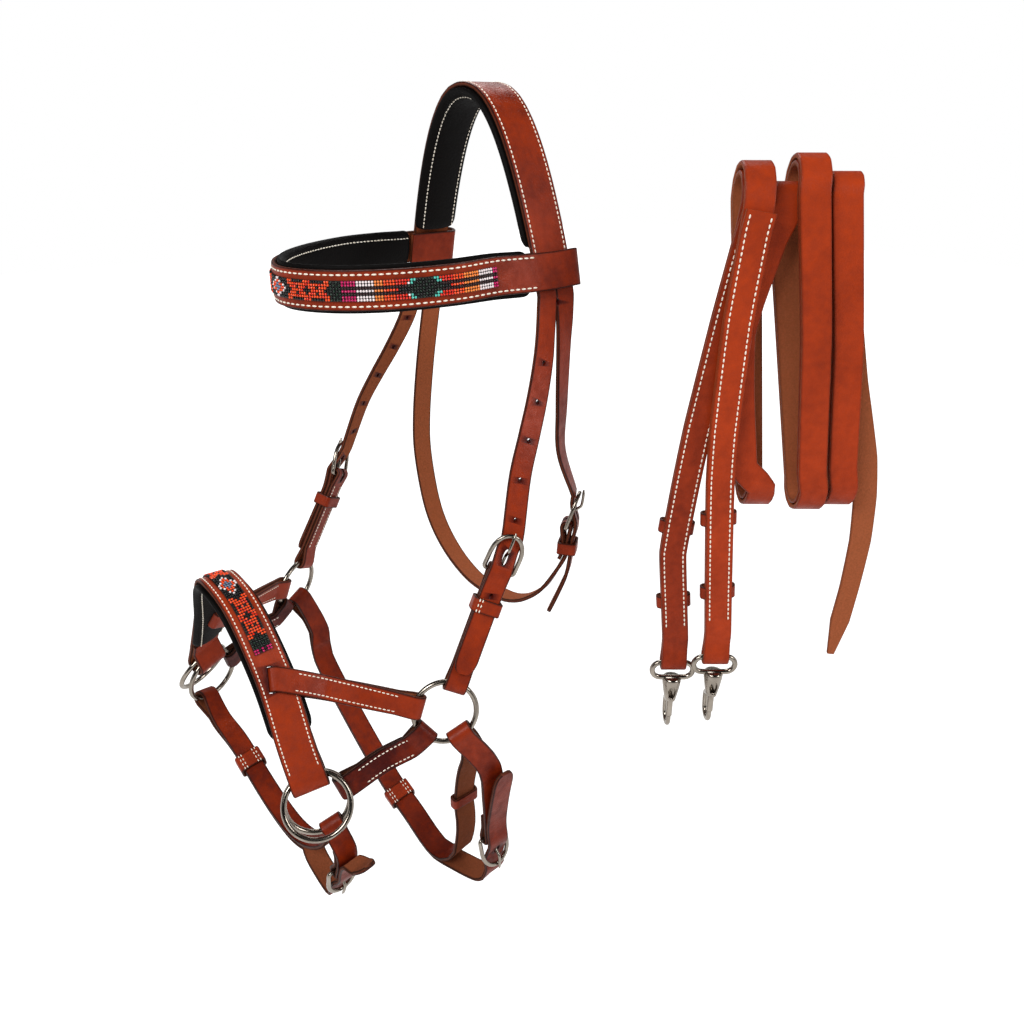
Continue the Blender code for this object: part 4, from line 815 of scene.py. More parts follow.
def crown_place(x):
    """The crown's middle surface over the poll."""
    drop = CROWN_RISE * (abs(x) / CROWN_HALF) ** CROWN_SHAPE
    return Vector((x, 4 * MM * drop / CROWN_RISE, crown_mid - drop))


def knot(x, y, z, width):
    """A station from millimetres."""
    return (Vector((x * MM, y * MM, z * MM)), width)


def tipped(stations, tip=12 * MM, least=0.4, pointed=False):
    """The stations with a fine stretch at the end, and the width factors that round or point it."""
    whole = length(stations)
    kept = [station for station, d in zip(stations, distances(stations)) if d < whole - tip - 1 * MM]
    fine = portion(stations, whole - tip, whole, 14)
    narrowing = [1 - i / 13 if pointed else sqrt(1 - (i / 13) ** 2) for i in range(14)]
    return kept + fine, [1.0] * len(kept) + [least + (1 - least) * share for share in narrowing]


def joined(name, parts):
    """Several strips as one piece."""
    with bpy.context.temp_override(active_object=parts[0], selected_editable_objects=parts):
        bpy.ops.object.join()
    parts[0].name = name
    return parts[0]


fork = (Vector((CROWN_HALF + 3 * MM, 5 * MM, -126 * MM)), Y)
crown_knots = [(crown_place(CROWN_HALF * k / 16), Y) for k in range(-16, 17)]
crown_route = mirrored([fork]) + crown_knots + [fork]
crown_stations = portion(crown_route, 0, length(crown_route), 32)
top_width = Vector((0, 0.87, -0.43))
low_width = -cheek_buckle.across
cheek_start = (fork[0] - Y * CROWN_WIDTH / 4, Y)
cheek_top = cheek_buckle.billet()[0][0]
cheek_end = cheek_buckle.billet()[1:]
cheek_bow = (
    (0.168, -0.4, 3.3), (0.294, -1.2, 5.2), (0.463, -0.6, 3.6), (0.631, 0, -0.1), (0.799, -0.4, -2.9)
)
cheek_knots = []
for i, (share, outward, back) in enumerate(cheek_bow):
    place = cheek_start[0].lerp(cheek_top, share) + Vector((outward, back, 0)) * MM
    cheek_knots.append((place, top_width.lerp(low_width, (i + 1) / 6)))
for reach, lift_off in ((50 * MM, 1.2 * MM), (BILLET_REACH, 2.6 * MM)):
    cheek_end.append((cheek_buckle.at(-reach, PLY + LEATHER + CLEAR + lift_off), -cheek_buckle.across))
cheek_billet = smooth([cheek_start] + cheek_knots + cheek_end, 36)
throat_width = -throat_buckle.across
throat_points = ((84, 11, -142), (86, 9, -160), (86.5, 8, -206), (86, 9, -240))
throat_knots = [knot(*point, Y.lerp(throat_width, (i + 1) / 5)) for i, point in enumerate(throat_points)]
throat_start = (fork[0] + Y * CROWN_WIDTH / 4, Y)
throat_end = throat_buckle.billet()[1:]
throat_end += [knot(88, y, z, throat_width) for y, z in ((17, -344), (9, -358))]
throat_end.append(knot(86, 0, -375, throat_width))
throat_billet = smooth([throat_start] + throat_knots + throat_end, 34)
hanging_start = [(throat_buckle.at(-d * MM, PLY), throat_width) for d in (12, 24)]
low_points = (
    (81.5, 11, -344), (76, 4, -358), (67, 0, -368), (53, -3, -377), (30, -3, -384), (-10, -4, -384),
    (-48, -4, -368), (-71, -6, -338), (-80, -9, -290), (-82, -8, -254), (-84, -1, -206), (-86, 8, -162),
    (-84, 11, -142),
)
far_width = throat_width * OFF_SIDE
low_knots = []
for i, point in enumerate(low_points):
    t = (i + 1) / 14
    side = throat_width.lerp(Y, min(1, t * 2.5)) if t < 0.5 else Y.lerp(far_width, 0.25)
    low_knots.append(knot(*point, side))
far_start = (throat_start[0] * OFF_SIDE, Y)
hanging = smooth(hanging_start + low_knots + [far_start], 64)
throat_lap = offset(portion(hanging, 0, 18 * MM, 4), -LEATHER - PLY_GAP)
throatlatch = clean(backwards(throat_lap) + backwards(throat_buckle.fold()["arc"]) + hanging)

# The branches start inside the crown strap, where the browband's loop covers the split's top
down = (fork[0] - crown_place(CROWN_HALF)).normalized()
split_hole = [(fork[0] - Z * 2 * MM, (X - Z * 0.6).normalized(), 1.5 * MM, None, HOLE_DEPTH)]


def branch(name, start, billet, holes):
    """One of the crown's near branches, down to its rounded tip, with its holes."""
    stations, scales = tipped(finer([(start[0] - down * INTO_CROWN * MM, Y)] + billet))
    made = strap(name, stations, chape_width, 1, scales=scales)
    punch(made, split_hole)
    punch(made, holes)
    return made


tongue_gap = length(cheek_billet) - BILLET_REACH - TONGUE_HOLE
holes = [cheek_buckle.hole()]
for step in (-1, 1, 2, 3, 4, 5):
    spot = portion(cheek_billet, 0, tongue_gap - step * HOLE_PITCH, 12)
    place, across, out = frames(spot)[-1]
    # The punch is held at a slant, so that each hole looks dark from the side
    slant = (out + across.cross(out) * HOLE_SLANT).normalized()
    holes.append((place, slant, HOLE_RADIUS, None, HOLE_DEPTH))
near_billet = branch("near_billet", cheek_start, cheek_billet, holes)
far_billet = other_side(near_billet, "far_billet")
near_throat = branch("near_throat", throat_start, throat_billet, [throat_buckle.hole()])
latch_top = (far_start[0] - down * OFF_SIDE * INTO_CROWN * MM, Y)
latch = strap("latch", finer(throatlatch + [latch_top]), chape_width, 1)
punch(latch, [throat_buckle.slot()])
above_split = portion(crown_route, SPLIT_RISE, length(crown_route) - SPLIT_RISE, 32)
over_poll = strap("over_poll", finer(above_split), CROWN_WIDTH, 1, shade=0.46)
crown = joined("crown_piece_leather", [over_poll, near_billet, far_billet, near_throat, latch])
stands_for(crown, "crown_piece")
sew_edges("headpiece", crown_stations, CROWN_WIDTH, ON_TOP, CROWN_ROW_START, pitch=CROWN_PITCH)


# Padding: soft black lining leather, glued and stitched round a strip of foam. It lies under the
# crown, the browband and the noseband and stands a little proud of them at both edges.
PAD_GAP = 0.8 * MM
PROUD = 2.6 * MM
PAD_SEAM = 5.2 * MM
SEAM_DEPTH = 0.76
BAND_WIDTH = 25.4 * MM
BAND_PAD = 7 * MM
CROWN_PAD_DROP = 101.8 * MM
BROW_PAD_START = 22.5 * MM
NOSE_PAD_START = 27 * MM
PAD_ROW_START = 4 * MM
AIR_STEPS = 20
# The furthest that the air moves a point
PUFF = 0.9 * MM


def between(stations, start, end):
    """The route's own stations between two distances from its start, with new ones at both ends."""
    first, last = portion(stations, start, end, 2)
    inner = [s for s, d in zip(stations, distances(stations)) if start + 1 * MM < d < end - 1 * MM]
    return [first] + inner + [last]


def lining_leather(name):
    """Black sheepskin nappa: very soft, matte, with fine wrinkles about 1.5 mm apart."""
    made, tree, place = material(name)
    cloudy = noise(tree, place, 120.0, 4.0)
    wrinkles = add(tree, "ShaderNodeTexVoronoi", {"Vector": place, "Scale": 650.0}).outputs["Distance"]
    looks = {
        "Base Color": mix(tree, cloudy, hex_colour("040303"), hex_colour("0F0C0B")),
        "Roughness": spread(tree, cloudy, 0.5, 0.72),
        "Normal": bump(tree, wrinkles, 0.3, 0.0005),
        "Specular IOR Level": 0.08,
    }
    return dress(made, looks)


LINING = lining_leather("soft black lining leather")


def pad(name, body, stations, width, thickness):
    """A pad before it is filled: flat on its leather, drawn in along two seams and rolled at its edges."""
    half = width / 2
    seam = (half - PAD_SEAM) / half
    roll = []
    for share in (0.2, 0.45, 0.72, 1):
        depth = -SEAM_DEPTH - 0.07 * sin(pi * share) + 0.42 * share**2
        roll.append((share * (1 - seam) + seam, depth, 0))
    profile = [(0.94 - 1.88 * k / 8, 0, 1) for k in range(9)] + [(-0.995, -0.14, 0)]
    profile += [(-a, b, pinned) for a, b, pinned in reversed(roll)]
    for k in range(17):
        a = (k / 8 - 1) * seam
        profile.append((a, -SEAM_DEPTH - 0.2 * (1 - (a / seam) ** 2) ** 0.6, 1 if k in (0, 16) else 0))
    profile += roll + [(0.995, -0.14, 0)]
    rings = []
    held = []
    route = frames(finer(stations))
    for i, (place, across, out) in enumerate(route):
        ends = min(1, 0.86 + 0.14 * min(i, len(route) - 1 - i) / 2)
        rings.append([place + across * a * half * ends + out * b * thickness * ends for a, b, _ in profile])
        held += [1 if pinned or i in (0, len(route) - 1) else 0 for _, _, pinned in profile]
    made = skinned(name, rings, False, LINING)
    group = made.vertex_groups.new(name="held")
    group.add([i for i, pinned in enumerate(held) if pinned], 1.0, "REPLACE")
    rise = -SEAM_DEPTH * thickness - 0.45 * MM
    row_end = length(stations) - PAD_ROW_START
    for sign in (1, -1):
        sew(body, stations, sign * (half - PAD_SEAM), rise, PAD_ROW_START, row_end, False)
    return made


def band_pad(name, body, route, start):
    """A band's padding, which starts at a distance from each of its ends."""
    stretch = offset(between(route, start, length(route) - start), -LEATHER / 2 - PAD_GAP)
    return pad(name, body, stretch, BAND_WIDTH + 2 * PROUD, BAND_PAD)


def fill(pads):
    """Blows the pads up with a little air, as their foam does, and holds them at their seams."""
    for made in pads:
        cloth = made.modifiers.new("air", "CLOTH")
        cloth.settings.quality = 6
        cloth.settings.mass = 0.2
        cloth.settings.use_pressure = True
        cloth.settings.uniform_pressure_force = 4
        cloth.settings.effector_weights.gravity = 0
        cloth.settings.vertex_group_mass = "held"
        cloth.point_cache.frame_start = 1
        cloth.point_cache.frame_end = AIR_STEPS
    for step in range(1, AIR_STEPS + 1):
        scene.frame_set(step)
    graph = bpy.context.evaluated_depsgraph_get()
    for made in pads:
        blown = made.evaluated_get(graph).data
        for vert, after in zip(made.data.vertices, blown.vertices):
            moved = after.co - vert.co
            vert.co += moved * min(1, PUFF / max(moved.length, 1e-9))
        made.modifiers.clear()
    scene.frame_set(1)


pad_knots = []
for k in range(-16, 17):
    x = CROWN_HALF * (CROWN_PAD_DROP / CROWN_RISE) ** (1 / CROWN_SHAPE) * k / 16
    pad_knots.append((crown_place(x), Y))
pad_route = offset(portion(pad_knots, 0, length(pad_knots), 30), -LEATHER / 2 - PLY_GAP)
crown_pad = pad("crown_padding_lining", "headpiece", pad_route, CROWN_WIDTH + 2 * PROUD, CROWN_PAD)

loop_lean = Vector((0.215, 0, -0.977))
loop_out = Vector((0.977, 0, 0.215))
loop_height = LEATHER + 1.4 * MM
crown_at_brow = Vector((77.7, 4, -108)) * MM
ply_out = crown_at_brow.x + loop_height
brow_sides = (
    (0, 4, -108, loop_lean),
    (0, -14, -108, loop_lean),
    (2, -30, -108, loop_lean),
    (3.5, -46, -108, loop_lean.lerp(-Z, 0.3)),
    (6, -80, -109.5, -Z),
)
brow_front = [(Vector((ply_out - inwards * MM, y * MM, z * MM)), w) for inwards, y, z, w in brow_sides]
brow_front += [knot(61, -120, -111, -Z), knot(34, -150, -112, -Z)]
brow_top = knot(0, -162, -112.5, -Z)
brow_route = smooth(brow_front + [brow_top] + backwards(mirrored(brow_front)), 52)

brow_pad = band_pad("browband_padding_lining", "headpiece", brow_route, BROW_PAD_START)

nose_fold = ring_low.fold(NOSE_SEAT, BAND_WIDTH, wires=2)
nose_width = nose_fold["lead"][1]
slit_point = Vector((60, -222, -362)) * MM
nose_near = [
    nose_fold["arc"][0],
    (nose_fold["arc"][0][0] + nose_away * 20 * MM, nose_width),
    (slit_point, nose_width.lerp(-Y, 0.6)),
    (Vector((30, -226, -322)) * MM, -Y),
]
nose_top = (Vector((0, -229, -309)) * MM, -Y)
nose_route = smooth(nose_near + [nose_top] + backwards(mirrored(nose_near)), 50)

nose_pad = band_pad("noseband_padding_lining", "noseband", nose_route, NOSE_PAD_START)
pads = [crown_pad, brow_pad, nose_pad]
fill(pads)
for made in pads:
    rounder = made.modifiers.new("rounder", "SUBSURF")
    rounder.levels = 1
    rounder.render_levels = 1
    baked(made)


# Browband: bridle leather an inch wide, looped round the crown on each side and stitched to its
# padding along both edges.
BROW_PITCH = 4.5 * MM
BROW_ROW_START = 21 * MM
loop_back = crown_at_brow + Y * (CROWN_WIDTH / 2 + 1 * MM)
loop_ways = [loop_out * cos(a) + Y * sin(a) for a in HALF_TURN]
loop_arc = [(loop_back + way * loop_height, loop_lean) for way in loop_ways]
inside = [(crown_at_brow - loop_out * loop_height + Y * d * MM, loop_lean) for d in (12, 0, -12, -20)]
near_loop = backwards(inside) + backwards(loop_arc)
brow_all = clean(near_loop + brow_route + backwards(mirrored(near_loop)))
browband = strap("browband_strap", finer(brow_all), BAND_WIDTH, 1, shade=0.42)
stands_for(browband, "browband_leather")
sew_edges("headpiece", brow_route, BAND_WIDTH, ON_TOP, BROW_ROW_START, pitch=BROW_PITCH)
for made, node in ((crown_pad, "crown_padding"), (brow_pad, "browband_padding")):
    stands_for(made, node, "black_lining")


# Beadwork: glass seed beads on thread, seven rows wide, sewn flat on the middle of the browband and
# of the noseband. Steps, stripes and diamonds in orange, magenta, white and turquoise on black.
BEAD_PITCH = 1.86 * MM
BEAD_ROWS = 7
BEAD_RISE = LEATHER / 2 + PLY_GAP
BEAD_CORE = 0.75 * MM
BEAD_SHAPE = (0.9, 0.97, 0.8)
GROUND_SUNK = 0.4
GROUND_SECTION = ((6.5, 0.1), (6.5, 0.75), (6.2, 0.9), (-6.2, 0.9), (-6.5, 0.75), (-6.5, 0.1))
BROW_BEADS_START = 50 * MM
NOSE_BEADS_HALF = 54 * MM
NOSE_BEADS_ASIDE = -10 * MM
BEAD_COLOURS = {
    "black": "0B0D0C",
    "green": "0F2A1B",
    "orange": "F2501E",
    "red": "DE2A14",
    "pale": "F58A3C",
    "white": "F1E4E4",
    "magenta": "C4145E",
    "turquoise": "58C6B4",
    "grey": "71819A",
    "wine": "2A0A0C",
}


def bead_colour(column, row):
    """The colour of a bead, by its column from the band's middle and its row from the upper edge."""
    up = abs(row - BEAD_ROWS // 2)
    if column < 6:
        ring = column + up * 1.35
        return "grey" if ring < 1.6 else "orange" if ring < 3.6 else "white" if ring < 4.7 else "black"
    if column < 23:
        step = (column - 6) % 8
        notch = max(0, 2 - min(step, 8 - step))
        corner = up == 3 and 2 <= step <= 6
        if up < notch or corner or (step == 4 and up == 1):
            return "black"
        return "red" if (column + row) % 5 == 0 else "orange"
    if column < 27:
        return "green" if (column + row) % 2 else "black"
    if 49 <= column <= 60:
        from_end = min(column - 49, 60 - column)
        if (up == 2 and from_end < 2) or (up == 3 and from_end in (1, 2)):
            return "turquoise" if (column + row) % 2 else "white" if from_end == 0 else "turquoise"
        if up == 3 and from_end == 0:
            return "red"
        return "black" if (column + row) % 3 else "green"
    if up == 1:
        return "wine"
    if column < 32 or column > 80:
        return "magenta"
    if column < 38 or column > 74:
        return "white"
    if up == 0 and (46 <= column <= 63):
        return "black"
    near_black = min(abs(column - 48), abs(column - 61))
    return "red" if near_black < 4 else "orange" if near_black < 8 else "pale"


def scatter(name, size, look, segments, ahead):
    """Nodes that set a small ball, stretched to a size, on each point, and give it its finish.

    Ahead takes the tree and what it is given, and makes the points and their turns.
    """
    tree = bpy.data.node_groups.new(name, "GeometryNodeTree")
    kinds = {"Geometry": "Geometry", "Pitch": "Float", size: "Vector", look: "Material"}
    for socket, kind in kinds.items():
        tree.interface.new_socket(socket, in_out="INPUT", socket_type=f"NodeSocket{kind}")
    tree.interface.new_socket("Geometry", in_out="OUTPUT", socket_type="NodeSocketGeometry")
    given = add(tree, "NodeGroupInput").outputs
    points, turn = ahead(tree, given)
    ball = add(tree, "GeometryNodeMeshUVSphere", {"Segments": segments, "Rings": 5, "Radius": 0.5})
    grain = add(tree, "GeometryNodeTransform", {"Geometry": ball.outputs["Mesh"], "Scale": given[size]})
    inputs = {"Points": points, "Instance": grain.outputs["Geometry"], "Rotation": turn}
    laid = add(tree, "GeometryNodeInstanceOnPoints", inputs).outputs["Instances"]
    real = add(tree, "GeometryNodeRealizeInstances", {"Geometry": laid}).outputs["Geometry"]
    rounded = add(tree, "GeometryNodeSetShadeSmooth", {"Geometry": real}).outputs["Geometry"]
    dressed = add(tree, "GeometryNodeSetMaterial", {"Geometry": rounded, "Material": given[look]})
    add(tree, "NodeGroupOutput", {"Geometry": dressed.outputs["Geometry"]})
    return tree


def bead_points(tree, given):
    """A bead at each point, turned to its band."""
    turn = add(tree, "GeometryNodeInputNamedAttribute", {"Name": "turn"}, data_type="FLOAT_VECTOR")
    spun = add(tree, "FunctionNodeEulerToRotation", {"Euler": turn.outputs["Attribute"]})
    return given["Geometry"], spun.outputs["Rotation"]


def grown(name, points, tree, inputs, marks=None, rows=None):
    """A plain mesh from a tree of nodes, fed with points or rows of points and named inputs."""
    if rows:
        data = bpy.data.curves.new(name, "CURVE")
        data.dimensions = "3D"
        for row in rows:
            line = data.splines.new("POLY")
            line.points.add(len(row) - 1)
            for point, place in zip(line.points, row):
                point.co = (*place, 1)
    else:
        data = bpy.data.meshes.new(name)
        data.from_pydata(points, [], [])
        for mark, (kind, field, values) in marks.items():
            data.attributes.new(mark, kind, "POINT").data.foreach_set(field, values)
    seed = placed(name, data)
    nodes = seed.modifiers.new(name, "NODES")
    nodes.node_group = tree
    for item in tree.interface.items_tree:
        if item.in_out == "INPUT" and item.name in inputs:
            nodes[item.identifier] = inputs[item.name]
    mesh = bpy.data.meshes.new_from_object(seed.evaluated_get(bpy.context.evaluated_depsgraph_get()))
    seed.modifiers.clear()
    bpy.data.objects.remove(seed, do_unlink=True)
    return placed(name, mesh)


def bead_glass():
    """Opaque glass seed beads: the colour is in the glass, under a hard even gloss."""
    made, tree, place = material("opaque glass seed beads")
    colouring = add(tree, "ShaderNodeAttribute", attribute_name="bead").outputs["Color"]
    tone = spread(tree, noise(tree, place, 500.0, 1.0), 0.8, 1.15)
    colour = add(tree, "ShaderNodeVectorMath", {0: colouring, "Scale": tone}, operation="SCALE")
    return dress(made, {"Base Color": colour.outputs["Vector"], "Roughness": 0.18, "IOR": 1.52})


def waxed_thread(name, colour, shade):
    """Waxed linen thread, two-ply: matte, with a slight twist that shows as fine slanting lines."""
    made, tree, place = material(name)
    twist = add(tree, "ShaderNodeTexWave", {"Vector": place, "Scale": 420.0, "Distortion": 2.0})
    ply = twist.outputs["Fac"]
    tint = mix(tree, ply, hex_colour(shade), hex_colour(colour))
    return dress(made, {"Base Color": tint, "Normal": bump(tree, ply, 0.3, 0.0002), "Roughness": 0.7})


BEAD_GLASS = bead_glass()
BACKING = waxed_thread("black beading ground", "140C0B", "050404")
BEADWORK = scatter("beadwork", "Bead Size", "Glass", 8, bead_points)


def bead_panel(name, route, half_length, node, aside=0):
    """A panel of beads along a band, and the ground that they are sewn on."""
    middle = length(route) / 2 + aside
    columns = int(half_length / BEAD_PITCH)
    spots = frames(portion(route, middle - half_length, middle + half_length, 4 * columns + 1))
    places, turns, dyes = [], [], []
    for index in range(2 * columns):
        place, across, out = spots[2 * index + 1]
        travel = across.cross(out)
        turn = Matrix((travel, across, out)).transposed().to_euler()
        column = columns - 1 - index if index < columns else index - columns
        for row in range(BEAD_ROWS):
            aside_row = across * (row - BEAD_ROWS // 2) * BEAD_PITCH
            places.append(place + aside_row + out * (BEAD_RISE + BEAD_CORE))
            turns += list(turn)
            dyes += list(hex_colour(BEAD_COLOURS[bead_colour(column, row)]))
    marks = {"turn": ("FLOAT_VECTOR", "vector", turns), "bead": ("FLOAT_COLOR", "color", dyes)}
    size = tuple(BEAD_PITCH * share for share in BEAD_SHAPE)
    beads = grown(name, places, BEADWORK, {"Bead Size": size, "Glass": BEAD_GLASS}, marks)
    ground = []
    for place, across, out in spots[::2]:
        levels = [(a, BEAD_RISE + (b - GROUND_SUNK) * MM) for a, b in GROUND_SECTION]
        ground.append([place + across * a * MM + out * level for a, level in levels])
    backing = skinned(f"{name}_ground", ground, False, BACKING)
    stands_for(beads, node, "glass_beads")
    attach(backing, body_of[node])


brow_half = length(brow_route) / 2 - BROW_BEADS_START
bead_panel("browband_beadwork", brow_route, brow_half, "browband_beads")
bead_panel("noseband_beadwork", nose_route, NOSE_BEADS_HALF, "noseband_beads", aside=NOSE_BEADS_ASIDE)


# Noseband: bridle leather, folded round both lower rings at each end and stitched to its padding.
# A slit near each end takes the upper side strap.
nose_lap = offset(portion(nose_route, 12 * MM, 24 * MM, 4), -LEATHER - PLY_GAP)
near_end = backwards(nose_lap) + backwards(nose_fold["arc"])
nose_all = clean(near_end + nose_route + backwards(mirrored(near_end)))
noseband = strap("noseband_strap", finer(nose_all), BAND_WIDTH, 1, shade=0.56)
NOSE_ROW_START = 4 * MM
SIDE_WIDTH = 17 * MM
UPPER_SIDE_SEAT = 162
SLIT_WIDTH = SIDE_WIDTH + 1.4 * MM
SLIT_HEIGHT = 3.9 * MM
SLIT_DEPTH = 30 * MM
# How far in front of the nearest station the slit lies, and how far below the leather its cutter's middle
SLIT_SHIFT = 2.5
SLIT_SUNK = 4
slit_place, slit_front, slit_out = min(frames(nose_route), key=lambda f: (f[0] - slit_point).length)
slit_place = slit_place + slit_front * SLIT_SHIFT * MM
side_seat = ring_up.centre + ring_up.outwards(UPPER_SIDE_SEAT) * RING_RADIUS
towards = side_seat - slit_place
towards = (towards - slit_out * towards.dot(slit_out)).normalized()
slit_away = (towards * 0.8 - slit_front).normalized()
slit_width = slit_out.cross(slit_away)
slit_mesh = bmesh.new()
for sign in (1, -1):
    mirror = Vector((sign, 1, 1))
    turn = Matrix((slit_width * mirror, slit_away * mirror, slit_out * mirror)).transposed().to_4x4()
    size = Matrix.Diagonal((SLIT_WIDTH, SLIT_HEIGHT, SLIT_DEPTH, 1))
    centre = Matrix.Translation((slit_place - slit_out * SLIT_SUNK * MM) * mirror)
    bmesh.ops.create_cube(slit_mesh, size=1, matrix=centre @ turn @ size)
bmesh.ops.recalc_face_normals(slit_mesh, faces=slit_mesh.faces)
cut_out([noseband, nose_pad], slit_mesh, SLIT_INK)
stands_for(noseband, "noseband_leather")
stands_for(nose_pad, "noseband_padding", "black_lining")
sew_edges("noseband", nose_route, BAND_WIDTH, ON_TOP, NOSE_ROW_START)


# Side straps: an upper one through the noseband's slit and a lower one on the inner ring, each round
# the cheek ring, of two plies of bridle leather stitched together along both edges.
LOWER_SIDE_SEAT = 222
LOW_INNER_SEAT = 22
over_band = LEATHER + PLY_GAP + 0.4 * MM
under_pad = LEATHER + PAD_GAP + BAND_PAD + CLEAR + 0.9 * MM
bend = 2.4 * MM
slit_path = (
    (27 * MM, over_band - 0.3 * MM),
    (18 * MM, over_band),
    (8 * MM, over_band),
    (bend, over_band),
    (bend * 0.29, over_band - bend * 0.29),
    (0, over_band - bend),
    (0, bend - under_pad),
    (bend * 0.29, bend * 0.29 - under_pad),
    (bend, -under_pad),
    (10 * MM, -under_pad),
    (21 * MM, -under_pad),
    (29 * MM, 1 * MM - under_pad * 0.55),
)


def skewed(s, h):
    """A place on the strap, which leaves its slit squarely and turns towards the ring."""
    turn = max(0, s - 2 * MM) / (s + 3 * MM)
    away = (slit_away * (1 - turn) + towards * turn).normalized()
    return (slit_place + away * s + slit_out * h, slit_out.cross(away))


slit_fold = {"arc": [skewed(s, h) for s, h in slit_path], "lead": skewed(38 * MM, 0)}
low_bow = (inner_ring.centre + ring_up.centre) / 2 + Vector((1, 0, -3)) * MM
low_travel = ring_up.centre - inner_ring.centre
low_side_width = (inner_ring.facing + ring_up.facing).cross(low_travel).normalized()
upper_side = folded_strap(slit_fold, ring_up.fold(UPPER_SIDE_SEAT, SIDE_WIDTH), [], 9)
lower_fold = inner_ring.fold(LOW_INNER_SEAT, SIDE_WIDTH)
lower_end = ring_up.fold(LOWER_SIDE_SEAT, SIDE_WIDTH)
lower_side = folded_strap(lower_fold, lower_end, [(low_bow, low_side_width)], 8)
# The upper strap's front rows start nearer to the slit, where its outer ply lies on the noseband
on_band = [skewed(17 * MM, over_band - PLY), skewed(27 * MM, over_band - 0.3 * MM - PLY)]
# The last number is each strap's shade value; the lower strap's low one is painted shade, as it faces down,
# away from the lamps
for label, (loop, middle), colouring in (("upper", upper_side, 0.5), ("lower", lower_side, 0.12)):
    made = strap(f"side_{label}_near_leather", finer(loop, True), SIDE_WIDTH, -1, closed=True, shade=colouring)
    stands_for(made, f"side_strap_{label}_near")
    front = on_band + middle if label == "upper" else middle
    sew_plies("noseband", SIDE_WIDTH, front, middle, 1 * MM, 1 * MM)


# Jaw and chin straps: one long strap each, round both rings in two layers, with a buckle on the near
# side. A stitched keeper holds the layers together, and the tip ends just above the buckle's bar.
LAYER_GAP = 1.2 * MM
LOWER_LAYER_END = 16 * MM
CHAPE_LAP = 13 * MM
# The two short rows at an end of a stitched keeper's face, from its side
KEEPER_ROWS = (2.6 * MM, 4.8 * MM)
KEEPER_THICKNESS = 2.0 * MM
KEEPER_WIDTH = 10 * MM
KEEPER_STEP = 1.2 * MM
STITCHED_KEEPER_WIDTH = 14 * MM


def hung(ring, widths, rows):
    """Stations from rows of millimetres: sideways, forwards, the drop below a ring, and which width.

    Width 0 is the near fold's, 1 the low one, which most rows have, and 2 the far fold's.
    """
    side, low, far_side = widths
    made = []
    for x, y, below, *own in rows:
        t = own[0] if own else 1
        width = side.lerp(low, t) if t < 1 else low.lerp(far_side, t - 1)
        made.append(knot(x, y, ring.centre.z / MM - below, width))
    return made


def belt(label, buckle, ring, near, far, low, top_ring, leg, loop, leaves, out, tip, count):
    """A strap buckled round both rings in two layers, from its chape at the buckle to its tip.

    Near and far are its folds' seats and swings. The line of its upper layer is given back.
    """
    width = buckle.strap_width
    near_fold, far_fold = [ring.fold(seat, width, swing=swing) for seat, swing in (near, far)]
    widths = (near_fold["lead"][1], low, far_fold["lead"][1] * OFF_SIDE)
    leg, loop, out, tip = [hung(top_ring, widths, rows) for rows in (leg, loop, out, tip)]
    arc = near_fold["arc"]
    far_arc = mirrored(far_fold["arc"])
    upper = smooth([arc[-1]] + loop + [far_arc[-1]], count)
    below = portion(upper, leaves, length(upper) - LOWER_LAYER_END, count - 8)
    lower = offset(below, LEATHER + LAYER_GAP)
    bar_arc = turned(backwards(buckle.fold()["arc"]))
    leg = smooth([(buckle.at(-12 * MM, PLY), buckle.across)] + leg + [arc[0]], 12)
    chape_end = backwards(offset(portion(leg, 0, CHAPE_LAP, 4), LEATHER + PLY_GAP))
    rising = smooth([lower[0]] + out + turned(buckle.billet()) + tip, 28)
    layers = clean(arc + upper + backwards(far_arc) + backwards(lower))
    line = finer(clean(chape_end + bar_arc + leg[:-1] + layers + rising))
    stations, scales = tipped(line)
    # The low shade value is partly the straps' darker dye and partly painted shade, where they face down,
    # away from the lamps
    made = strap(f"{label}_strap_leather", stations, width, -1, scales=scales, shade=0.3)
    for hole in (buckle.hole(), buckle.slot()):
        punch(made, [hole])
    stands_for(made, f"{label}_strap")
    sew_edges(f"{label}_belt", line, width, -ON_TOP, 24 * MM, 36 * MM)
    return upper


def keeper(node, centre, along, across, facing, width, low, high, strap_width, sewn=()):
    """A leather loop round a strap's plies. Sewn lists the ends of its faces that have two short rows."""
    half = strap_width / 2 + CLEAR + KEEPER_THICKNESS / 2
    bottom = low - CLEAR - KEEPER_THICKNESS / 2
    top = high + CLEAR + KEEPER_THICKNESS / 2
    round_off = 1.6 * MM
    stations = []
    for sx, sy, start in CORNERS:
        corner_x = sx * (half - round_off)
        corner_y = top - round_off if sy > 0 else bottom + round_off
        for step in (0, 45, 90):
            a = radians(start + step)
            x = corner_x + round_off * cos(a)
            y = corner_y + round_off * sin(a)
            stations.append((centre + across * x + facing * y, along))
    line = finer(stations, True, KEEPER_STEP)
    made = strap(f"{node}_leather", line, width, 1, closed=True, thickness=KEEPER_THICKNESS)
    for side, face in sewn:
        level = (top if face > 0 else bottom) + face * (KEEPER_THICKNESS / 2 + 0.1 * MM)
        for inset in KEEPER_ROWS:
            spot = centre + across * side * (half - inset) + facing * level
            reach = along * (width / 2 - 1.2 * MM)
            rows = stitch_rows.setdefault((body_of[node], FINE_PITCH), [])
            rows.append([spot - reach, spot, spot + reach])
    stands_for(made, node)


def belt_keeper(node, upper, distance, width, high, strap_width, sewn=()):
    """A keeper round a belt, at a distance along its upper layer."""
    place, across, out = frames(portion(upper, distance - 4 * MM, distance + 4 * MM, 3))[1]
    keeper(node, place, across.cross(out), across, out, width, -LEATHER / 2, high, strap_width, sewn)


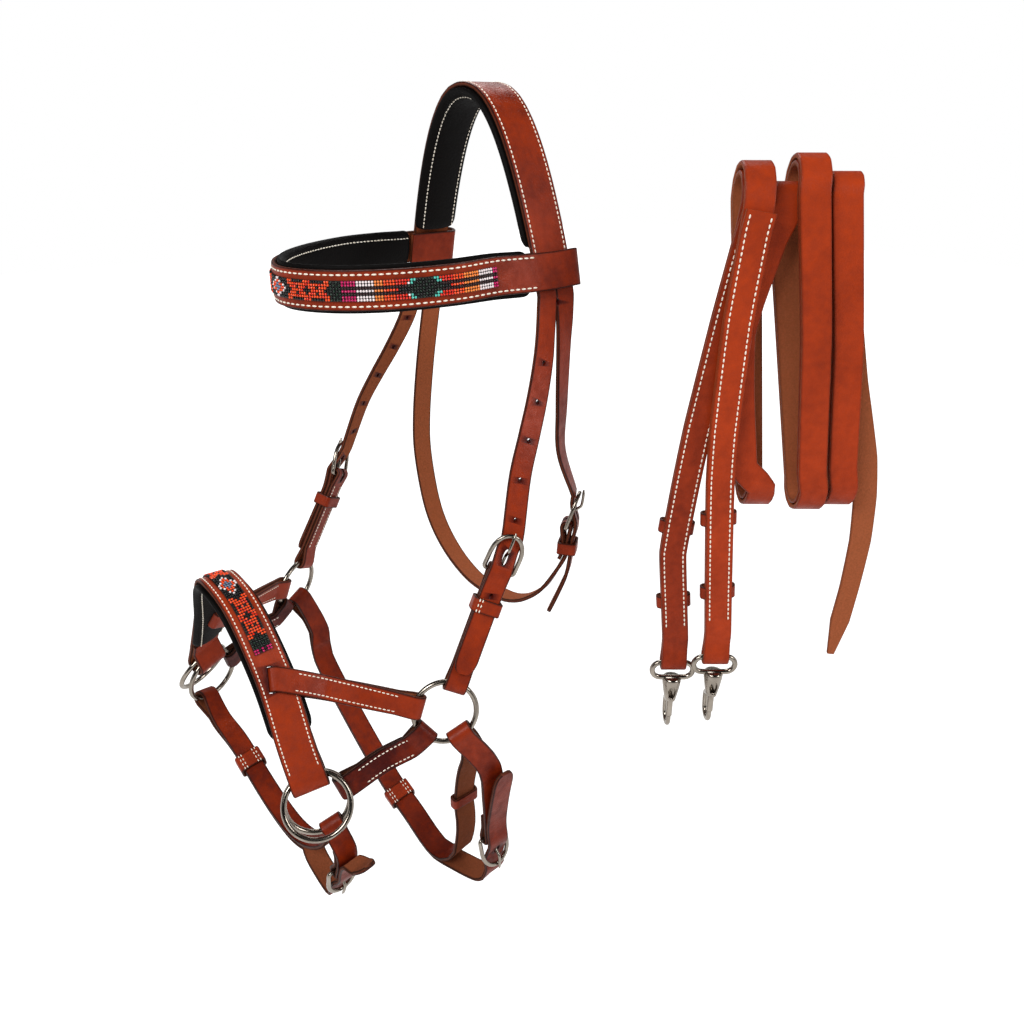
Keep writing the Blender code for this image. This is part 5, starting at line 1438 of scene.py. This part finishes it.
jaw_upper = belt(
    "jaw",
    jaw_buckle,
    ring_up,
    near=(300, 22),
    far=(288, 44),
    low=Vector((0, 0.95, 0.3)),
    top_ring=ring_up,
    leg=((135.5, -94, 82, 0.7), (138, -99, 50, 0.3)),
    loop=(
        (122, -102, 42, 0), (111, -100, 70, 0.5), (104, -99, 102), (103, -97, 132), (96, -99, 162),
        (73, -104, 175), (31, -105, 162), (0, -107, 149), (-55, -110, 112), (-103, -112, 74),
        (-115, -108, 52, 1.5),
    ),
    leaves=168 * MM,
    out=((118, -93, 172),),
    tip=((142, -92, 80), (147, -91, 54)),
    count=38,
)
chin_upper = belt(
    "chin",
    chin_buckle,
    inner_ring,
    near=(294, 8),
    far=(255, 62),
    low=Vector((0, 0.96, 0.2)),
    top_ring=ring_low,
    leg=((115, -207, 41),),
    loop=(
        (96, -204, 39, 0.5), (85, -206, 55), (67, -210, 66), (46, -213, 70), (20, -214, 69),
        (-9, -215, 62), (-51, -217, 46), (-79, -220, 36, 1.6),
    ),
    leaves=62 * MM,
    out=((70, -210, 81),),
    tip=((129, -204, 46), (141, -203, 37)),
    count=36,
)
over_layers = LEATHER * 1.5 + LAYER_GAP
for node, upper, distance, strap_width in (
    ("jaw_keeper_stitched", jaw_upper, 240 * MM, JAW_WIDTH),
    ("chin_keeper_stitched", chin_upper, 160 * MM, CHIN_WIDTH),
):
    ends = ((-1, -1), (-1, 1), (1, -1), (1, 1))
    belt_keeper(node, upper, distance, STITCHED_KEEPER_WIDTH, over_layers, strap_width, ends)


# Loose keepers: short loops of thin bridle leather that hold each billet's end onto its chape. They
# slide along the strap. The cheeks', the throat's and the jaw's are made alike.
def buckle_keeper(node, buckle, drop, sewn=()):
    """The loose keeper below a buckle."""
    spot = (buckle.at(-drop, 0), buckle.along, buckle.across, buckle.facing, KEEPER_WIDTH)
    keeper(node, *spot, -PLY - LEATHER / 2, PLY + LEATHER * 1.5 + CLEAR, buckle.strap_width, sewn)


buckle_keeper("cheek_keeper_near", cheek_buckle, 26 * MM, [(1, 1)])
near_rows = stitch_rows[(body_of["cheek_keeper_near"], FINE_PITCH)]
far_rows = [[point * OFF_SIDE for point in row] for row in near_rows]
stitch_rows[(body_of["cheek_keeper_far"], FINE_PITCH)] = far_rows
buckle_keeper("throat_keeper", throat_buckle, 17.5 * MM)
belt_keeper("jaw_keeper_loop", jaw_upper, 88 * MM, KEEPER_WIDTH, LEATHER / 2, JAW_WIDTH)


# Reins: two long straps of bridle leather, coiled together in three and a half turns. Each starts in
# two plies, stitched round its snap's eye, and ends in a long tip.
REIN_WIDTH = 19 * MM
REIN_PLACE = Vector((200 * MM, 94 * MM, 0))
REIN_TURN = radians(52)
REIN_PITCH = 3.7 * MM
REIN_STEP = 20 * MM
# How far behind the lap line the grain side changes, and how much the free end is narrowed
GRAIN_CHANGE = 27 * MM
END_NARROWING = 0.22
EYE_WIRE = 4.0 * MM
# In millimetres: how far the doubled ply lies in front of the rein, how far above its snap each keeper
# sits, how far below the coil's top each snap hangs, and how far forward each rein does
LAP_RISE = 3.4
REIN_KEEPERS = (("upper", 113.5), ("lower", 53.5))
SNAP_1_DROP = 391
SNAP_2_DROP = 381
REIN_1_DEPTH = 16.5
REIN_2_DEPTH = 24
# Over how many of its last stations the free end is narrowed
NARROWED = 58
rein_right = Vector((cos(REIN_TURN), sin(REIN_TURN), 0))
rein_front = Vector((sin(REIN_TURN), -cos(REIN_TURN), 0))


def rein_at(side, drop, depth):
    """A station of a rein: sideways, down and forwards in millimetres, its width along the coil's axis."""
    return (REIN_PLACE + rein_right * side * MM + rein_front * depth * MM - Z * drop * MM, rein_right)


def turn_round(side, drop, front, back, up):
    """A half turn of a rein over the coil's top, or under its bottom, from one depth to another."""
    radius = abs(front - back) / 2
    way = 1 if front > back else -1
    made = []
    for k, a in enumerate(HALF_TURN):
        depth = (front + back) / 2 + way * radius * cos(a)
        made.append(rein_at(side + 2 * (k / 6 - 0.5), drop - up * radius * sin(a), depth))
    return made


def back_keeper(name, centre, across, out):
    """A keeper behind a rein: its ends go in between the two plies, so that only its sides show in front."""
    half = REIN_WIDTH / 2 + CLEAR + KEEPER_THICKNESS / 2
    between_plies = -LEATHER / 2 - PLY_GAP / 2
    behind = LEATHER / 2 + CLEAR + KEEPER_THICKNESS / 2 + 1 * MM
    along = across.cross(out)
    corner = (
        (5 * MM, between_plies),
        (1.4 * MM, between_plies),
        (-0.4 * MM, between_plies + 1.4 * MM),
        (-0.6 * MM, behind - 1.6 * MM),
        (1 * MM, behind),
    )
    way = [(-half + a, b) for a, b in corner] + [(half - a, b) for a, b in reversed(corner)]
    route = [(centre + across * a + out * b, along) for a, b in way]
    return strap(name, finer(route, step=KEEPER_STEP), KEEPER_WIDTH, -1, thickness=KEEPER_THICKNESS)


def rein(label, front, snap_drop, main, nest, tail, colouring):
    """One rein, from the end of its doubled ply down round the snap's eye and up to its free tip."""
    side = front[0][0]
    turns = rein_turns(nest, main)
    lap_depth = main + LAP_RISE
    middle = (lap_depth + main) / 2
    grip = (EYE_WIRE / 2 + CLEAR + LEATHER / 2) / MM
    lap = [rein_at(-23, 63, lap_depth)]
    lap += [rein_at(s, share * snap_drop, lap_depth) for s, share in reversed(front)]
    lap.append(rein_at(side, snap_drop - 13, lap_depth))
    round_eye = [(snap_drop + grip * sin(a), middle + grip * cos(a)) for a in HALF_TURN]
    round_eye = [(snap_drop - 2, middle + grip)] + round_eye + [(snap_drop - 2, middle - grip)]
    eye_turn = [rein_at(side, drop, depth) for drop, depth in round_eye]
    rise = [rein_at(s, share * snap_drop, main) for s, share in front]
    coil = []
    for i, (depth, back, top_side, top_drop, low_side, low_drop, through) in enumerate(turns):
        coil += turn_round(top_side, top_drop, depth, -back, 1)
        if low_side is None:
            break
        coil.append(rein_at((top_side + low_side) / 2, (top_drop + low_drop) / 2, -back))
        coil += turn_round(low_side, low_drop, -back, turns[i + 1][0], -1)
        coil += [rein_at(s, d, turns[i + 1][0]) for s, d in through]
    coil += [rein_at(s, d, -turns[-1][1]) for s, d in tail]
    lap_line = finer(lap, step=REIN_STEP)
    onwards = finer([rein_at(side, snap_drop - 13, main)] + rise + coil, step=REIN_STEP)
    route = clean(lap_line + eye_turn + onwards)
    stations, scales = tipped(finer(route, step=4 * MM), 30 * MM, 0.35, pointed=True)
    # The free end is cut narrower over its last 200 mm
    for i in range(len(stations)):
        scales[i] *= 1 - END_NARROWING * min(1, max(0, 1 - (len(stations) - i) / NARROWED) * 1.6)
    lap_length = length(lap_line)
    grain = [1 if d < lap_length + GRAIN_CHANGE else -1 for d in distances(stations)]
    made = strap(f"rein_{label}_leather", stations, REIN_WIDTH, grain, scales=scales, shade=colouring, ink=0.3)
    stands_for(made, f"rein_{label}")
    sew_edges("reins", lap_line, REIN_WIDTH, ON_TOP, 4 * MM, lap_length - 22 * MM, REIN_PITCH)
    run = frames(finer(rise, step=4 * MM))
    for which, above in REIN_KEEPERS:
        place, across, out = min(run, key=lambda f: abs(f[0].z + (snap_drop - above) * MM))
        node = f"rein_keeper_{which}_{label}"
        stands_for(back_keeper(f"{node}_leather", place, across, out), node)


def rein_turns(nest, main):
    """Each turn of the coil: its depth in front and behind, and where it passes over and under."""
    tight = 8 + nest
    wide = 16.6 + nest
    return (
        (main, wide, -23, 59, 1, 250, ((-12, 235), (-24, 141), (-10, 80))),
        (tight, tight, -1, 61, 35, 250, ((33, 235), (23, 141), (14, 80))),
        (wide, wide, 11, 53, 59, 250, ((57, 235), (48, 150), (37, 80))),
        (tight, tight, 34, 55, None, None, None),
    )


rein_1_front = (
    (-51, 0.946), (-55, 0.844), (-58, 0.762), (-56, 0.701), (-53, 0.627), (-48, 0.522), (-36, 0.332),
    (-26, 0.192),
)
rein_2_front = (
    (-21.5, 0.945), (-24, 0.866), (-28, 0.735), (-31, 0.63), (-32, 0.535), (-30, 0.341), (-25, 0.197)
)
long_tail = ((44, 100), (63, 180), (79, 235), (84, 265), (86, 300), (84, 340), (78, 399))
short_tail = ((40, 100), (54, 180), (66, 232))
rein("1", rein_1_front, SNAP_1_DROP, REIN_1_DEPTH, 0, long_tail, 0.5)
rein("2", rein_2_front, SNAP_2_DROP, REIN_2_DEPTH, 4.1, short_tail, 0.72)


# Bolt snaps: cast in zinc and nickel plated. A wide eye, a tapered barrel with a slot for the bolt's
# nub, and a long hook that the sprung bolt closes. The spring of drawn wire is hidden in the barrel.
EYE_WIDTH = 35 * MM
EYE_HEIGHT = 17 * MM
BARREL_RADIUS = 6.2 * MM
BARREL_LENGTH = 22 * MM
HOOK_DEPTH = 20 * MM
HOOK_WIRE = 4.6 * MM
HOOK_DROP = 30 * MM
BOLT_RADIUS = 2.5 * MM
NUB_RADIUS = 1.9 * MM
NUB_REACH = 9.2 * MM
SPRING_LENGTH = 9.5 * MM
SPRING_RADIUS = 2.2 * MM
SPRING_WIRE = 0.3 * MM
SPRING_RUN = 8.7 * MM
SPRING = plated("drawn spring steel", "A9A7A2", "7C7A75")


def snap(label, origin):
    """A snap's body and bolt, hung by its eye's top bar."""

    def at(side, forward, up):
        return origin + rein_right * side + rein_front * forward + Z * up

    eye_low = EYE_WIRE - EYE_HEIGHT
    half = EYE_WIDTH / 2 - EYE_WIRE / 2
    corner = -eye_low / 2
    loop = []
    for start, sx in ((90, -1), (-90, 1)):
        for k in range(9):
            a = radians(start + 180 * k / 8)
            loop.append(at(sx * (half - corner) + corner * cos(a), 0, eye_low / 2 + corner * sin(a)))
    eye = wire("eye", eased(loop, True), EYE_WIRE / 2, closed=True, face=rein_front, sides=16, square=0.85)
    top = eye_low + 1 * MM
    low = top - BARREL_LENGTH
    profile = (
        (0, 0.8), (0.03, 1.06), (0.08, 1.16), (0.3, 1.1), (0.6, 0.92), (0.85, 0.76), (0.96, 0.66), (1, 0.5)
    )
    spots = [at(0, 0, top - BARREL_LENGTH * t) for t, _ in profile]
    barrel = wire("barrel", spots, [BARREL_RADIUS * r for _, r in profile], face=rein_front, sides=28)
    nub_rest = low + 5.5 * MM
    slot_middle = nub_rest + 3 * MM
    punch(barrel, [(at(0, 7 * MM, slot_middle + 1 * MM), rein_front, 3 * MM, (Z, 2.2), 9 * MM)])
    bottom = low - HOOK_DROP + HOOK_WIRE / 2
    bend = (HOOK_DEPTH - HOOK_WIRE) / 2
    spine = [at(0, -2 * MM, low + 6 * MM), at(0, -5 * MM, low - 1 * MM), at(0, -2 * bend, low - 8 * MM)]
    for k in range(9):
        a = pi + pi * k / 8
        spine.append(at(0, bend * (cos(a) - 1), bottom + bend * (1 + sin(a)) + 2 * MM))
    hook_tip = bottom + bend + 5 * MM
    spine.append(at(0, 0, hook_tip))
    line = eased(spine)
    radii = [HOOK_WIRE / 2 * (1.15 - 0.4 * i / len(line)) for i in range(len(line))]
    hook = wire("hook", line, radii, sides=16)
    body = joined(f"snap_{label}_casting", [barrel, eye, hook])
    stands_for(body, f"snap_body_{label}", "nickel_plate")
    heights = (nub_rest + 3 * MM, nub_rest, hook_tip + 0.9 * MM, hook_tip + 0.4 * MM)
    bolt_line = [at(0, 0, up) for up in heights]
    bolt = wire("bolt", bolt_line, [BOLT_RADIUS, BOLT_RADIUS, BOLT_RADIUS, BOLT_RADIUS * 0.8], sides=20)

    nub_line = [at(0, d * NUB_REACH, nub_rest) for d in (0, 0.5, 0.8, 0.9, 0.97, 1)]
    nub_radii = [NUB_RADIUS * r for r in (0.9, 0.9, 0.95, 1.0, 0.8, 0.4)]
    nub = wire("nub", nub_line, nub_radii, sides=18)
    bolt = joined(f"snap_{label}_bolt_and_nub", [bolt, nub])
    stands_for(bolt, f"snap_bolt_{label}", "nickel_plate")
    roof = nub_rest + 3 * MM + SPRING_LENGTH
    inset = (SPRING_LENGTH - SPRING_RUN) / 2
    coil = []
    for k in range(49):
        a = tau * k / 12
        height = roof - inset - SPRING_RUN * k / 48
        coil.append(at(SPRING_RADIUS * cos(a), SPRING_RADIUS * sin(a), height))
    spring = wire(f"snap_spring_{label}_wire", coil, SPRING_WIRE, sides=6, look=SPRING)
    stands_for(spring, f"snap_spring_{label}", "spring_steel")
    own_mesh(spring)


snap("1", rein_at(rein_1_front[0][0], SNAP_1_DROP, REIN_1_DEPTH + LAP_RISE / 2)[0])
snap("2", rein_at(rein_2_front[0][0], SNAP_2_DROP, REIN_2_DEPTH + LAP_RISE / 2)[0])


# Stitching: cream waxed thread, laid in along every sewn edge, with about eight stitches to the inch
# on the straps and fewer and thicker ones on the browband and the reins.
def stitch_points(tree, given):
    """A stitch at each pitch of a row, turned along it."""
    inputs = {"Curve": given["Geometry"], "Length": given["Pitch"]}
    marked = add(tree, "GeometryNodeResampleCurve", inputs, mode="LENGTH")
    way = add(tree, "GeometryNodeInputTangent").outputs["Tangent"]
    turn = add(tree, "FunctionNodeAlignRotationToVector", {"Vector": way}, axis="Z")
    return marked.outputs["Curve"], turn.outputs["Rotation"]


THREAD = waxed_thread("cream waxed linen thread", "FFF8EC", "E9DCC4")
STITCHING = scatter("stitching", "Stitch Size", "Thread", 6, stitch_points)
for (body, pitch), rows in stitch_rows.items():
    thick = 0.25 * MM + pitch * 0.23
    inputs = {"Pitch": pitch, "Stitch Size": (thick, thick, pitch * 0.76), "Thread": THREAD}
    made = grown(f"{body}_stitches_{round(pitch / MM * 10)}", None, STITCHING, inputs, rows=rows)
    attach(made, body)
